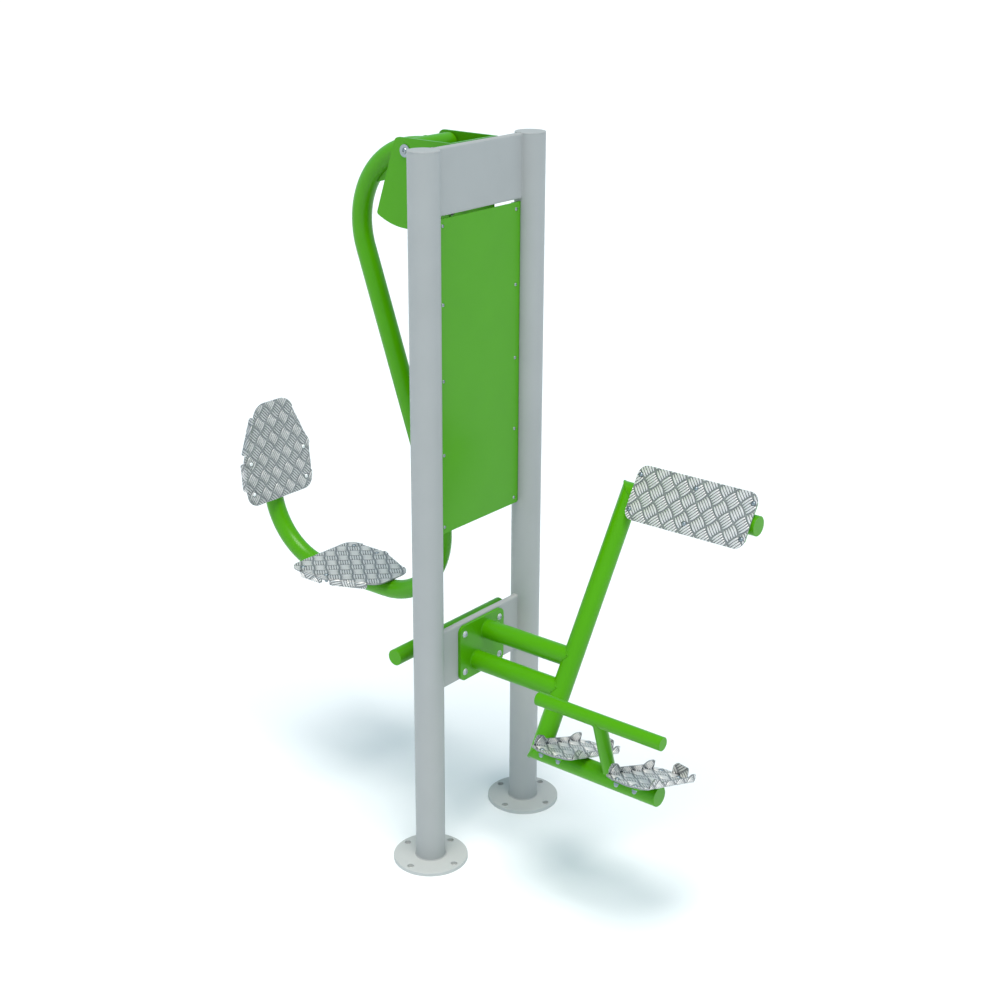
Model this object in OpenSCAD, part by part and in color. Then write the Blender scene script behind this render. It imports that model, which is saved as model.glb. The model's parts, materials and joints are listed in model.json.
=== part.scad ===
// Outdoor leg press and back extension: one street fitness station for two users.
// Two posts stand on anchor flanges and carry a panel and two crossmembers.
// A bent swing arm with seat and backrest hangs on the rear side (+Y).
// A tube frame with thigh pad, ankle bar and foot plates stands out on the front side (-Y).
// Origin: on the ground, midway between the posts. X runs along the posts, Z is up.

/* [Posts] */
// Outer diameter of a post
post_d = 90; // [80:1:102]
// Wall of a post
post_wall = 3; // [2:0.5:6]
// Distance between the post centres
post_spacing = 463; // [440:1:520]
// Height of the posts above the ground
post_h = 2166; // [2120:1:2300]

/* [Base flanges] */
// Diameter of a base flange
flange_d = 228; // [222:1:260]
// Thickness of a base flange
flange_t = 12; // [8:1:20]
// Pitch circle of the anchor holes
anchor_pcd = 188; // [150:1:196]
// Diameter of an anchor hole
anchor_hole_d = 20; // [14:1:24]
// Anchor holes in each flange
anchor_count = 4; // [3:1:6]

/* [Crossmembers] */
// Height of both crossmembers
member_h = 186; // [182:1:200]
// Depth of both crossmembers, front to rear
member_t = 20; // [16:1:30]
// Wall of both crossmembers
member_wall = 3; // [2:0.5:4]
// Outer radius of the crossmembers' long edges
member_r = 7; // [5:0.5:7.5]
// Distance from the post centres forward to the crossmembers' front face
member_front = 6; // [2:0.5:10]
// Height of the lower crossmember's bottom edge
lower_member_z = 556; // [540:1:560]

/* [Panel] */
// Width of the panel
panel_w = 356; // [330:1:360]
// Height of the panel's bottom edge
panel_z = 1055; // [900:5:1200]
// Gap between the panel's top edge and the top crossmember
panel_gap = 7; // [3:1:20]
// Thickness of the panel sheet
panel_t = 4; // [2:0.5:5]
// Distance of the screw columns from the panel's side edges
screw_side = 16; // [10:1:22]
// Distance of the end screws from the panel's top and bottom edges
screw_end = 19.5; // [12:0.5:30]
// Screws in each column
screw_rows = 5; // [3:1:8]
// Width of the flat bars behind the panel's side edges, measured from the post
rail_w = 37; // [34:1:50]
// Thickness of the flat bars behind the panel
rail_t = 5; // [4:0.5:8]

/* [Joint plates] */
// Width of the two plates that clamp the lower crossmember
joint_w = 208; // [200:1:230]
// Height of the joint plates
joint_h = 180; // [170:1:182]
// Thickness of a joint plate
joint_t = 10; // [6:1:14]
// Corner radius of the joint plates
joint_r = 22; // [10:1:30]
// Height of the joint plates' centre
joint_z = 644; // [640:1:655]
// Spacing of the joint bolts across
joint_dx = 165; // [160:1:172]
// Spacing of the joint bolts up
joint_dz = 125; // [120:1:132]
// Thread size of the joint bolts
joint_bolt_d = 12; // [10:1:12]

/* [Back extension frame] */
// Diameter of the frame's main tubes and of the swing arm
main_d = 60; // [54:1:62]
// Wall of the frame's main tubes and of the swing arm
main_wall = 3; // [2:0.5:5]
// Distance from the post centres forward to the mast
mast_y = 339.5; // [300:0.5:400]
// Lean of the mast from vertical, towards +X
mast_lean = 32; // [26:0.5:36]
// Sideways place of the upper support tube
support_x = 24; // [15:1:30]
// Height of the upper support tube
support_z = 687; // [680:1:690]
// Distance between the support tubes along the mast
support_pitch = 98.5; // [90:0.5:104]
// Length of the mast below the upper support tube
mast_below = 285.5; // [260:0.5:320]
// Length of the mast above the upper support tube
mast_above = 521.5; // [480:0.5:560]
// Length of the bar behind the thigh pad, from the mast's centre
pad_bar_l = 437; // [425:1:480]
// Length of the bar under the foot plates, from the mast's centre
foot_bar_l = 417; // [405:1:460]

/* [Thigh pad] */
// Width of the thigh pad plate, along its bar
pad_w = 404; // [360:1:410]
// Height of the thigh pad plate, along the mast
pad_h = 170; // [150:1:200]
// Corner radius of the thigh pad plate
pad_r = 30; // [15:1:40]
// Distance the bar's free end stands out past the pad's edge
pad_end = 8; // [2:1:14]
// Bolt columns on the thigh pad
pad_columns = 3; // [2:1:4]
// Spacing of the bolt columns along the bar
pad_bolt_pitch = 190.5; // [150:0.5:200]
// Distance of the bolt rows from the bar's centre line
pad_bolt_rise = 54; // [46:1:65]
// Thickness of the straps behind the pad
pad_strap_t = 4; // [3:1:8]
// Width of the straps behind the pad
pad_strap_w = 22; // [16:1:23]

/* [Ankle bar] */
// Diameter of the ankle bar and its stub
ankle_d = 40; // [34:1:48]
// Wall of the ankle bar and its stub
ankle_wall = 2.5; // [2:0.5:4]
// Length of the ankle bar
ankle_l = 424; // [360:1:460]
// Distance from the foot bar's centre to the ankle bar's centre
ankle_rise = 220.5; // [200:0.5:240]
// Lean of the stub from vertical, towards -X
ankle_lean = 17.75; // [10:0.25:24]
// Distance from the mast's centre forward to the stub
ankle_y = 251.5; // [246:0.5:256]

/* [Foot plates] */
// Tilt of the foot plates, toes down towards +X
foot_tilt = 18; // [10:1:25]
// Distance from the mast's centre forward to the midpoint of the two plates
foot_mid = 240.5; // [236:0.5:246]
// Spacing of the two foot plates along their bar
foot_pitch = 260; // [250:1:264]
// Length of a foot plate behind the bar's centre line, to the heel
heel_l = 139; // [134:1:150]
// Length of a foot plate in front of the bar's centre line, to the toes
toe_l = 145; // [138:1:160]
// Width of a foot plate
sole_w = 140; // [132:1:146]
// Height of a foot plate's bent-up edges
sole_edge_h = 18; // [14:1:22]
// Height of the tabs and teeth on the bent-up edges
sole_tab_h = 28; // [24:1:36]
// Length of the bracket plate under a foot plate
bracket_l = 256; // [252:1:264]
// Width of the bracket plate under a foot plate
bracket_w = 90; // [80:1:100]
// Thickness of the bracket plate under a foot plate
bracket_t = 5; // [4:1:8]
// Bolt spacing along a foot plate
foot_bolt_dx = 232; // [200:1:234]
// Bolt spacing across a foot plate
foot_bolt_dy = 60; // [50:1:66]

/* [Press bar] */
// Diameter of the foot bar of the leg press
press_d = 50; // [42:1:54]
// Wall of the foot bar of the leg press
press_wall = 3; // [2:0.5:4]
// Length of the foot bar of the leg press
press_l = 502; // [440:1:560]
// Height of the foot bar of the leg press
press_z = 651; // [640:1:660]
// Distance from the post centres back to the foot bar
press_y = 118; // [105:1:125]
// Diameter of the two stubs that carry the foot bar
stub_d = 40; // [34:1:41]
// Spacing of the two stubs
stub_pitch = 110; // [90:1:115]

/* [Pivot fork] */
// Distance from the post centres back to the pivot
pivot_y = 182; // [176:1:190]
// Depth of the pivot below the post tops
pivot_drop = 35.5; // [34:0.5:40]
// Clear width between the fork's side plates
fork_gap = 184; // [180:1:200]
// Thickness of the fork's side plates
fork_t = 8; // [6:1:12]
// Thickness of the fork's back plate
back_plate_t = 10; // [8:1:14]
// Radius of the side plates' lower edge about the pivot
fork_r = 218; // [212:1:225]
// Slope of the side plates' outer edge from vertical
fork_slope = 18.6; // [16:0.2:22]
// Distance of the side plates' outer edge from the pivot
fork_edge = 46.5; // [44:0.5:50]

/* [Pivot bearing] */
// Outer diameter of the pivot housing
housing_d = 63; // [60:1:66]
// Running gap between the housing's ends and the side plates
housing_end_gap = 4; // [3:0.5:6]
// Outer diameter of a ball bearing
bearing_od = 52; // [51:0.5:54]
// Bore of a ball bearing, and diameter of the axle
bearing_id = 25; // [22:0.5:26]
// Width of a ball bearing
bearing_b = 15; // [13:0.5:16]
// Balls in a bearing
ball_count = 9; // [7:1:9]
// Diameter of a ball
ball_d = 7.9; // [7:0.1:8]
// Thread size of the axle's end bolts
axle_bolt_d = 10; // [8:1:12]
// Diameter of the washers under the axle's end bolts
axle_washer_d = 36; // [30:1:40]
// Thickness of the washers under the axle's end bolts
axle_washer_t = 3; // [2:0.5:4]

/* [Swing stops] */
// Angle that the arm swings out from rest
swing_max = 25; // [18:1:26]
// Radius at which the stop bars stand about the pivot
stop_r = 185; // [180:1:190]
// Diameter of a stop bar
stop_bar_d = 20; // [14:1:22]
// Diameter of the rubber buffers on the stop bars
buffer_d = 32; // [28:1:34]
// Length of a rubber buffer
buffer_l = 60; // [30:1:120]
// Width of the arm's stop tongue
tongue_w = 30; // [22:1:32]
// Lean of the tongue towards the posts at rest
tongue_lean = 7.5; // [5:0.5:10]
// Thickness of the gusset plate with the tongue
gusset_t = 10; // [6:1:12]

/* [Swing arm] */
// Bend radius of the arm at the tube's centre line
bend_r = 236; // [220:1:240]
// Distance from the pivot back to the top bend's corner
knee_reach = 352; // [345:1:370]
// Depth of the top bend's corner below the pivot
knee_drop = 36; // [30:1:45]
// Distance from the post centres back to the lower bend's corner
heel_y = 44; // [40:1:60]
// Height of the level tube under the seat
seat_tube_z = 725.5; // [715:0.5:760]
// Distance from the post centres back to the backrest bend's corner
rise_y = 860; // [850:1:900]
// Lean of the backrest tube from vertical
back_lean = 5; // [2:0.5:12]
// Length of the backrest tube above its bend's corner
back_tube_l = 351; // [340:1:420]

/* [Seat and backrest] */
// Thickness of all tread plates
tread_t = 4; // [3:0.5:5]
// Inner radius where a tread plate is bent
tread_bend_r = 3; // [2:0.5:4]
// Length of the seat plate and of the backrest plate
body_l = 327; // [310:1:350]
// Half width of a body plate at its broad end's corners
body_low = 138; // [134:1:142]
// Half width of a body plate at its broadest
body_wide = 147; // [145:1:156]
// Half width of a body plate at its narrow end's corners
body_top = 70; // [60:1:90]
// Depth of the bent side edges of a body plate
body_edge_h = 20; // [16:1:30]
// Half spacing of the bolts across a body plate
body_bolt_x = 118; // [112:1:120]
// Distances of the two bolt rows from the broad end
body_bolt_low = 40; // [36:1:46]
// Distance between the two bolt rows
body_bolt_pitch = 102.5; // [90:0.5:108]
// Distance from the post centres back to the seat's broad end
seat_rear_y = 669.5; // [665:0.5:680]
// Distance from the backrest bend's corner up to the backrest's broad end
back_rise = 194.5; // [192:0.5:205]
// Thickness of the straps under the seat and behind the backrest
strap_t = 6; // [4:1:8]
// Width of the straps under the seat and behind the backrest
strap_w = 34; // [24:1:40]

/* [Fasteners and fits] */
// Thread size of the bolts in the tread plates
tread_bolt_d = 8; // [6:1:8]
// Thread size of the panel screws
panel_screw_d = 6; // [5:1:6]
// Thickness of the end caps
cap_t = 4; // [2:1:6]
// Depth that an end cap reaches into its tube
cap_plug = 8; // [4:1:14]
// Gap at a welded seat
weld_gap = 0.2; // [0.1:0.05:0.4]
// Gap round a pressed seat
press_gap = 0.02; // [0.01:0.01:0.04]
// Gap round a bolt in its hole
bolt_gap = 0.5; // [0.25:0.25:1]
// Gap round the axle in the side plates
axle_gap = 0.05; // [0.02:0.01:0.1]
// Gap between the stop tongue and a buffer at the end of the swing
stop_gap = 0.3; // [0.2:0.05:0.5]
// Gap round a post in its base flange
flange_gap = 0.5; // [0.3:0.1:0.9]

/* [Hidden] */

$fn = 72;
eps = 0.01;
// Bends lap the straight lengths that they join by this
bend_lap = 0.3;
// The wall of a bent edge steps in from the sheet's faces by this
bend_step = 0.05;
// Cut beside each end of a bent edge, so that the sheet can fold
bend_relief = 1;

green = "#4c9c1e";
grey = "#a7afb1";
pale_grey = "#c4c9c8";
tread_grey = "#b4b9bb";
steel = "#9aa0a8";
rubber = "#2a2c2e";

post_r = post_d / 2;
post_x = post_spacing / 2;
main_r = main_d / 2;
ankle_r = ankle_d / 2;
press_r = press_d / 2;
housing_r = housing_d / 2;

// The crossmembers' faces and the stack of plates clamped on the lower one
member_y0 = -member_front;
member_y1 = member_t - member_front;
top_member_z = post_h - member_h;
front_plate_y = member_y0 - joint_t;
rear_plate_y = member_y1 + joint_t;
joint_washer_t = 2.5;

// The panel and the flat bars that it is screwed to
panel_h = top_member_z - panel_gap - panel_z;
screw_x = panel_w / 2 - screw_side;
screw_pitch = (panel_h - 2 * screw_end) / (screw_rows - 1);
panel_back_y = member_y0 + panel_t;
panel_drill = 2 * (member_front + panel_t + rail_t);
rail_x = post_x - post_r - rail_w;

// Seats of the tread plates, measured from the centre line of the tube that carries them
pad_seat = main_r + weld_gap + pad_strap_t;
sole_seat = main_r + weld_gap + bracket_t;
body_seat = main_r + weld_gap + strap_t;
pad_y = pad_bar_l - pad_end - pad_w / 2;
pad_strap_l = 2 * pad_bolt_rise + pad_strap_w;

// The fork and the pivot
pivot_z = post_h - pivot_drop;
fork_w = fork_gap + 2 * fork_t;
fork_front_y = member_y1 + back_plate_t;
housing_l = fork_gap - 2 * housing_end_gap;

// Bearing rings: the balls run halfway between bore and outside
ball_track_r = (bearing_id + bearing_od) / 4;
ring_lip = 2.4;
ball_gap = 0.08;
housing_bore_d = bearing_od - 5;
spacer_d = bearing_id + 8;

// The swing arm's corners, as [distance back, height]
pivot_point = [pivot_y, pivot_z];
knee_point = [pivot_y + knee_reach, pivot_z - knee_drop];
heel_point = [heel_y, seat_tube_z];
rise_point = [rise_y, seat_tube_z];
back_dir = [sin(back_lean), cos(back_lean)];
back_point = rise_point + (back_tube_l - cap_t) * back_dir;
arm_points = [pivot_point, knee_point, heel_point, rise_point, back_point];

// The top bend's centre, used by the gusset that fills the corner under it
knee_in = unit(knee_point - pivot_point);
knee_out = unit(heel_point - knee_point);
knee_tangent = bend_r * tan(turn(knee_in, knee_out) / -2);
knee_centre = knee_point - knee_tangent * knee_in + bend_r * [knee_in.y, -knee_in.x];
gusset_tip_angle = 35.5;

// The stop bars stand where the tongue meets their buffers at both ends of the swing
stop_angle = asin((tongue_w / 2 + buffer_d / 2 + stop_gap) / stop_r);
rest_stop = -tongue_lean - stop_angle;
out_stop = swing_max - tongue_lean + stop_angle;
tongue_r = stop_r + 8;

seat_top_z = seat_tube_z + body_seat + tread_t;

// Sizes of a button head bolt and its nut, from its thread size
function head_d(d) = 1.75 * d;
function head_h(d) = 0.55 * d;
function nut_flats(d) = d > 8 ? 1.55 * d : 13 / 8 * d;
function nut_h(d) = 0.8 * d;

function unit(v) = v / norm(v);

// Signed angle from direction a to direction b in the plane
function turn(a, b) = atan2(a.x * b.y - a.y * b.x, a * b);

// Points of one corner p between its neighbours a and b, rounded to radius r
function corner(a, p, b, r, steps) =
    let (u = unit(a - p), v = unit(b - p), half = acos(u * v) / 2)
    let (centre = p + unit(u + v) * r / sin(half), first = p + u * r / tan(half) - centre)
    let (sweep = (turn(u, v) > 0 ? -1 : 1) * (180 - 2 * half), start = atan2(first.y, first.x))
    r <= 0 ? [p] : [for (i = [0:steps]) centre + r * [cos(start + sweep * i / steps), sin(start + sweep * i / steps)]];

// Closed outline through the points, each corner rounded to its own radius
function rounded(points, radii, steps = 7) =
    let (n = len(points))
    [for (i = [0:n - 1]) each corner(points[(i + n - 1) % n], points[i], points[(i + 1) % n], radii[i], steps)];

// Outline of a rectangle on its centre with rounded corners
function rounded_box(w, h, r) =
    rounded([[w, h] / 2, [-w, h] / 2, [-w, -h] / 2, [w, -h] / 2], [r, r, r, r]);

// Point on the mast's centre line, at distance s above the upper support tube
function mast_point(s) = [support_x + s * sin(mast_lean), -mast_y, support_z + s * cos(mast_lean)];

module ring(d, wall) {
    difference() {
        circle(d = d);
        circle(d = d - 2 * wall);
    }
}

module tube(length, d, wall) {
    linear_extrude(length)
        ring(d, wall);
}

// Round tube along a chain of corners in the XY plane, bent to radius r at each inner corner.
// The straight lengths lap a hair over the bends, so that the tube is one solid
module bent_tube(points, r, d, wall) {
    last = len(points) - 1;
    dirs = [for (i = [0:last - 1]) unit(points[i + 1] - points[i])];
    turns = [for (i = [1:last - 1]) turn(dirs[i - 1], dirs[i])];
    cuts = [0, each [for (t = turns) r * tan(abs(t) / 2) - bend_lap], 0];
    for (i = [0:last - 1])
        translate(points[i] + cuts[i] * dirs[i])
            rotate([0, 90, atan2(dirs[i].y, dirs[i].x)])
                tube(norm(points[i + 1] - points[i]) - cuts[i] - cuts[i + 1], d + bend_lap, wall);
    for (i = [1:last - 1]) {
        side = sign(turns[i - 1]);
        heading = atan2(dirs[side > 0 ? i - 1 : i].y, dirs[side > 0 ? i - 1 : i].x);
        reach = r * tan(abs(turns[i - 1]) / 2);
        translate(points[i] - reach * dirs[i - 1] + side * r * [-dirs[i - 1].y, dirs[i - 1].x])
            rotate([0, 0, heading - side * 90])
                rotate_extrude(angle = abs(turns[i - 1]))
                    translate([r, 0])
                        ring(d, wall);
    }
}

// Flat end cap with a plug that reaches down into the tube below z = 0
module end_cap(d, wall) {
    plug_r = d / 2 - wall - weld_gap;
    chamfer = 1;
    rotate_extrude()
        polygon([
            [0, -cap_plug], [plug_r, -cap_plug], [plug_r, 0], [d / 2, 0],
            [d / 2, cap_t - chamfer], [d / 2 - chamfer, cap_t], [0, cap_t]
        ]);
}

// Button head bolt: the head stands on z = 0 and the shank reaches down
module button_bolt(d, shank) {
    r = head_d(d) / 2;
    h = head_h(d);
    dome_r = (r * r + h * h) / (2 * h);
    difference() {
        union() {
            rotate_extrude()
                intersection() {
                    translate([0, h - dome_r])
                        circle(dome_r);
                    square([r, h]);
                }
            translate([0, 0, -shank])
                cylinder(h = shank + eps, d = d);
        }
        translate([0, 0, h - 0.3 * d])
            cylinder(h = d, d = 0.62 * d / cos(30), $fn = 6);
    }
}

// Domed cap nut that stands on z = 0, blind at its top
module dome_nut(d) {
    hex_d = nut_flats(d) / cos(30);
    difference() {
        union() {
            cylinder(h = nut_h(d), d = hex_d, $fn = 6);
            cylinder(h = 1.1 * d, d = nut_flats(d) - 1);
            translate([0, 0, 1.1 * d])
                intersection() {
                    sphere(d = nut_flats(d) - 1);
                    cylinder(h = d, d = 2 * d);
                }
        }
        translate([0, 0, -eps])
            cylinder(h = 1.2 * d, d = d + 2 * press_gap);
    }
}

module hex_nut(d) {
    difference() {
        cylinder(h = nut_h(d), d = nut_flats(d) / cos(30), $fn = 6);
        translate([0, 0, -eps])
            cylinder(h = nut_h(d) + 2 * eps, d = d + 2 * press_gap);
    }
}

module washer(od, id, t) {
    linear_extrude(t)
        difference() {
            circle(d = od);
            circle(d = id);
        }
}

// One edge of a tread plate, bent up from the outer face at z = 0.
// It runs from p to q with the plate on its left; the leg's outline is [along, up].
module bent_edge(p, q, leg, radii) {
    bend = tread_bend_r + tread_t;
    translate(p)
        rotate([0, 0, atan2(q.y - p.y, q.x - p.x)]) {
            rotate([90, 0, 90])
                linear_extrude(norm(q - p))
                    intersection() {
                        translate([bend, bend])
                            ring(2 * (bend - bend_step), tread_t - 2 * bend_step);
                        square(bend + bend_lap);
                    }
            translate([0, tread_t, 0])
                rotate([90, 0, 0])
                    linear_extrude(tread_t)
                        polygon(rounded(leg, radii, 5));
        }
}

// Strip of a flat plate that its bent edge takes the place of
module edge_strip(p, q) {
    translate(p)
        rotate([0, 0, atan2(q.y - p.y, q.x - p.x)])
            translate([-bend_relief, -tread_t, -eps])
                cube([norm(q - p) + 2 * bend_relief, tread_bend_r + 2 * tread_t, tread_t + 2 * eps]);
}

// Posts, caps and flanges

module at_post(side) {
    translate([side * post_x, 0, 0])
        children();
}

module post(side) {
    at_post(side)
        tube(post_h - cap_t, post_d, post_wall);
}

module base_flange(side) {
    at_post(side)
        difference() {
            rotate_extrude()
                polygon([[0, 0], [flange_d / 2, 0], [flange_d / 2, flange_t - 1.5], [flange_d / 2 - 1.5, flange_t], [0, flange_t]]);
            translate([0, 0, -eps])
                cylinder(h = flange_t + 2 * eps, r = post_r + flange_gap);
            for (i = [0:anchor_count - 1])
                rotate([0, 0, i * 360 / anchor_count])
                    translate([anchor_pcd / 2, 0, -eps])
                        cylinder(h = flange_t + 2 * eps, d = anchor_hole_d);
        }
}

module post_left() {
    color(grey)
        post(-1);
}

module post_right() {
    color(grey)
        post(1);
}

module post_caps() {
    color(grey)
        for (side = [-1, 1])
            at_post(side)
                translate([0, 0, post_h - cap_t])
                    end_cap(post_d, post_wall);
}

module base_flange_left() {
    color(pale_grey)
        base_flange(-1);
}

module base_flange_right() {
    color(pale_grey)
        base_flange(1);
}

// Crossmembers, coped round the posts

module post_cope() {
    for (side = [-1, 1])
        at_post(side)
            cylinder(h = post_h, r = post_r + weld_gap);
}

module crossmember(z) {
    inner_r = max(member_r - member_wall, 0.5);
    difference() {
        translate([0, (member_y0 + member_y1) / 2, z + member_h / 2])
            rotate([90, 0, 90])
                linear_extrude(post_spacing, center = true)
                    difference() {
                        polygon(rounded_box(member_t, member_h, member_r));
                        polygon(rounded_box(member_t - 2 * member_wall, member_h - 2 * member_wall, inner_r));
                    }
        post_cope();
    }
}

module at_joint_bolts(y) {
    for (sx = [-1, 1], sz = [-1, 1])
        translate([sx * joint_dx / 2, y, joint_z + sz * joint_dz / 2])
            children();
}

module joint_bolt_holes() {
    at_joint_bolts(0)
        rotate([90, 0, 0])
            cylinder(h = 2 * (rear_plate_y - front_plate_y), d = joint_bolt_d + 2 * bolt_gap, center = true);
}

module top_crossmember() {
    color(grey)
        crossmember(top_member_z);
}

module lower_crossmember() {
    color(grey)
        difference() {
            crossmember(lower_member_z);
            joint_bolt_holes();
        }
}

// Sleeves inside the lower crossmember keep its walls apart under the bolts
module crush_sleeves() {
    color(steel)
        at_joint_bolts(member_y1 - member_wall)
            rotate([90, 0, 0])
                washer(joint_bolt_d + 8, joint_bolt_d + 2 * bolt_gap, member_t - 2 * member_wall);
}

// Panel

module at_panel_screws(y) {
    for (side = [-1, 1], i = [0:screw_rows - 1])
        translate([side * screw_x, y, panel_z + screw_end + i * screw_pitch])
            rotate([90, 0, 0])
                children();
}

module panel() {
    color(green)
        difference() {
            translate([-panel_w / 2, member_y0, panel_z])
                cube([panel_w, panel_t, panel_h]);
            at_panel_screws(0)
                cylinder(h = panel_drill, d = panel_screw_d + 2 * bolt_gap, center = true);
        }
}

module panel_rails() {
    color(green)
        difference() {
            for (side = [-1, 1])
                translate([side * (rail_x + post_x) / 2 - (post_x - rail_x) / 2, panel_back_y, panel_z])
                    cube([post_x - rail_x, rail_t, panel_h]);
            post_cope();
            at_panel_screws(0)
                cylinder(h = panel_drill, d = panel_screw_d + 2 * press_gap, center = true);
        }
}

module panel_screws() {
    color(steel)
        at_panel_screws(member_y0)
            button_bolt(panel_screw_d, panel_t + rail_t + 3);
}

// Joint plates on the lower crossmember

module joint_plate(y) {
    difference() {
        translate([0, y + joint_t, joint_z])
            rotate([90, 0, 0])
                linear_extrude(joint_t)
                    polygon(rounded_box(joint_w, joint_h, joint_r));
        joint_bolt_holes();
    }
}

module front_joint_plate() {
    color(green)
        joint_plate(front_plate_y);
}

module rear_joint_plate() {
    color(green)
        joint_plate(member_y1);
}

module joint_bolts() {
    color(steel)
        at_joint_bolts(front_plate_y)
            rotate([90, 0, 0])
                button_bolt(joint_bolt_d, rear_plate_y - front_plate_y + joint_washer_t + nut_h(joint_bolt_d) + 3);
}

module joint_washers() {
    color(steel)
        at_joint_bolts(rear_plate_y)
            rotate([-90, 0, 0])
                washer(2 * joint_bolt_d, joint_bolt_d + 2 * bolt_gap, joint_washer_t);
}

module joint_nuts() {
    color(steel)
        at_joint_bolts(rear_plate_y + joint_washer_t)
            rotate([-90, 0, 0])
                hex_nut(joint_bolt_d);
}

// Back extension frame: the mast's own frame has Z along the mast and Y as the station

module on_mast(s) {
    translate(mast_point(s))
        rotate([0, mast_lean, 0])
            children();
}

module on_foot_bar(y, lean) {
    translate(mast_point(-mast_below) - [0, y, 0])
        rotate([0, lean, 0])
            children();
}

// Half of space below a mitre plane tilted about X, or above it
module mitre_half(angle, above) {
    block = 4 * main_d;
    rotate([angle, 0, 0])
        translate([-block / 2, -block / 2, above ? 0 : -block])
            cube(block);
}

module support_tube(s) {
    start = mast_point(s);
    difference() {
        translate([start.x, front_plate_y, start.z])
            rotate([90, 0, 0])
                tube(mast_y + front_plate_y, main_d, main_wall);
        on_mast(s)
            cylinder(h = 4 * main_d, r = main_r + weld_gap, center = true);
    }
}

module support_tube_upper() {
    color(green)
        support_tube(0);
}

module support_tube_lower() {
    color(green)
        support_tube(-support_pitch);
}

module mast() {
    color(green)
        difference() {
            on_mast(-mast_below - main_r)
                tube(mast_below + mast_above + main_d, main_d, main_wall);
            on_mast(-mast_below)
                mitre_half(-45, false);
            on_mast(mast_above)
                mitre_half(-135, false);
        }
}

// Bar that runs forward from the end of the mast, mitred against it
module mast_bar(s, length, angle) {
    difference() {
        on_mast(s)
            translate([0, main_r, 0])
                rotate([90, 0, 0])
                    tube(length + main_r - cap_t, main_d, main_wall);
        on_mast(s)
            mitre_half(angle, true);
    }
}

module pad_bar() {
    color(green)
        mast_bar(mast_above, pad_bar_l, -135);
}

module foot_bar() {
    color(green)
        mast_bar(-mast_below, foot_bar_l, -45);
}

module main_bar_caps() {
    color(green)
        for (bar = [[mast_above, pad_bar_l], [-mast_below, foot_bar_l]])
            on_mast(bar[0])
                translate([0, cap_t - bar[1], 0])
                    rotate([90, 0, 0])
                        end_cap(main_d, main_wall);
}

// Thigh pad

module at_pad_columns() {
    for (i = [0:pad_columns - 1])
        on_mast(mast_above)
            translate([0, -pad_y + (i - (pad_columns - 1) / 2) * pad_bolt_pitch, 0])
                children();
}

module at_pad_bolts(h) {
    at_pad_columns()
        for (side = [-1, 1])
            translate([-h, 0, side * pad_bolt_rise])
                rotate([0, -90, 0])
                    children();
}

module pad_bolt_holes() {
    at_pad_bolts(main_r)
        cylinder(h = 4 * (pad_strap_t + tread_t), d = tread_bolt_d + 2 * bolt_gap, center = true);
}

module pad_straps() {
    color(green)
        difference() {
            at_pad_columns()
                translate([-pad_seat, 0, 0])
                    rotate([0, 90, 0])
                        linear_extrude(pad_strap_t)
                            polygon(rounded_box(pad_strap_l, pad_strap_w, 0.45 * pad_strap_w));
            pad_bolt_holes();
        }
}

module thigh_pad_plate() {
    color(tread_grey)
        difference() {
            on_mast(mast_above)
                translate([-pad_seat - tread_t, -pad_y, 0])
                    rotate([0, 90, 0])
                        linear_extrude(tread_t)
                            polygon(rounded_box(pad_h, pad_w, pad_r));
            pad_bolt_holes();
        }
}

module pad_bolts() {
    color(steel)
        at_pad_bolts(pad_seat + tread_t)
            button_bolt(tread_bolt_d, tread_t + pad_strap_t + tread_bolt_d);
}

// Ankle bar on its stub

module along_ankle_bar(from) {
    on_foot_bar(ankle_y, -ankle_lean)
        translate([0, ankle_l / 2 - from, ankle_rise])
            rotate([90, 0, 0])
                children();
}

module ankle_stub() {
    color(green)
        difference() {
            on_foot_bar(ankle_y, -ankle_lean)
                tube(ankle_rise, ankle_d, ankle_wall);
            on_foot_bar(0, 0)
                rotate([90, 0, 0])
                    cylinder(h = foot_bar_l, r = main_r + weld_gap);
            along_ankle_bar(0)
                cylinder(h = ankle_l, r = ankle_r + weld_gap);
        }
}

module ankle_bar() {
    color(green)
        along_ankle_bar(cap_t)
            tube(ankle_l - 2 * cap_t, ankle_d, ankle_wall);
}

module ankle_bar_caps() {
    color(green) {
        along_ankle_bar(ankle_l - cap_t)
            end_cap(ankle_d, ankle_wall);
        along_ankle_bar(cap_t)
            mirror([0, 0, 1])
                end_cap(ankle_d, ankle_wall);
    }
}

// Foot plates: X runs from heel to toes in the plate, Z is square to it

module on_foot_plate(place) {
    on_foot_bar(foot_mid + place * foot_pitch / 2, foot_tilt)
        children();
}

module at_foot_bolts(h) {
    for (sx = [-1, 1], sy = [-1, 1])
        translate([sx * foot_bolt_dx / 2, sy * foot_bolt_dy / 2, h])
            children();
}

module foot_bolt_holes() {
    at_foot_bolts(0)
        cylinder(h = 2 * sole_seat, d = tread_bolt_d + 2 * bolt_gap);
}

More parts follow.
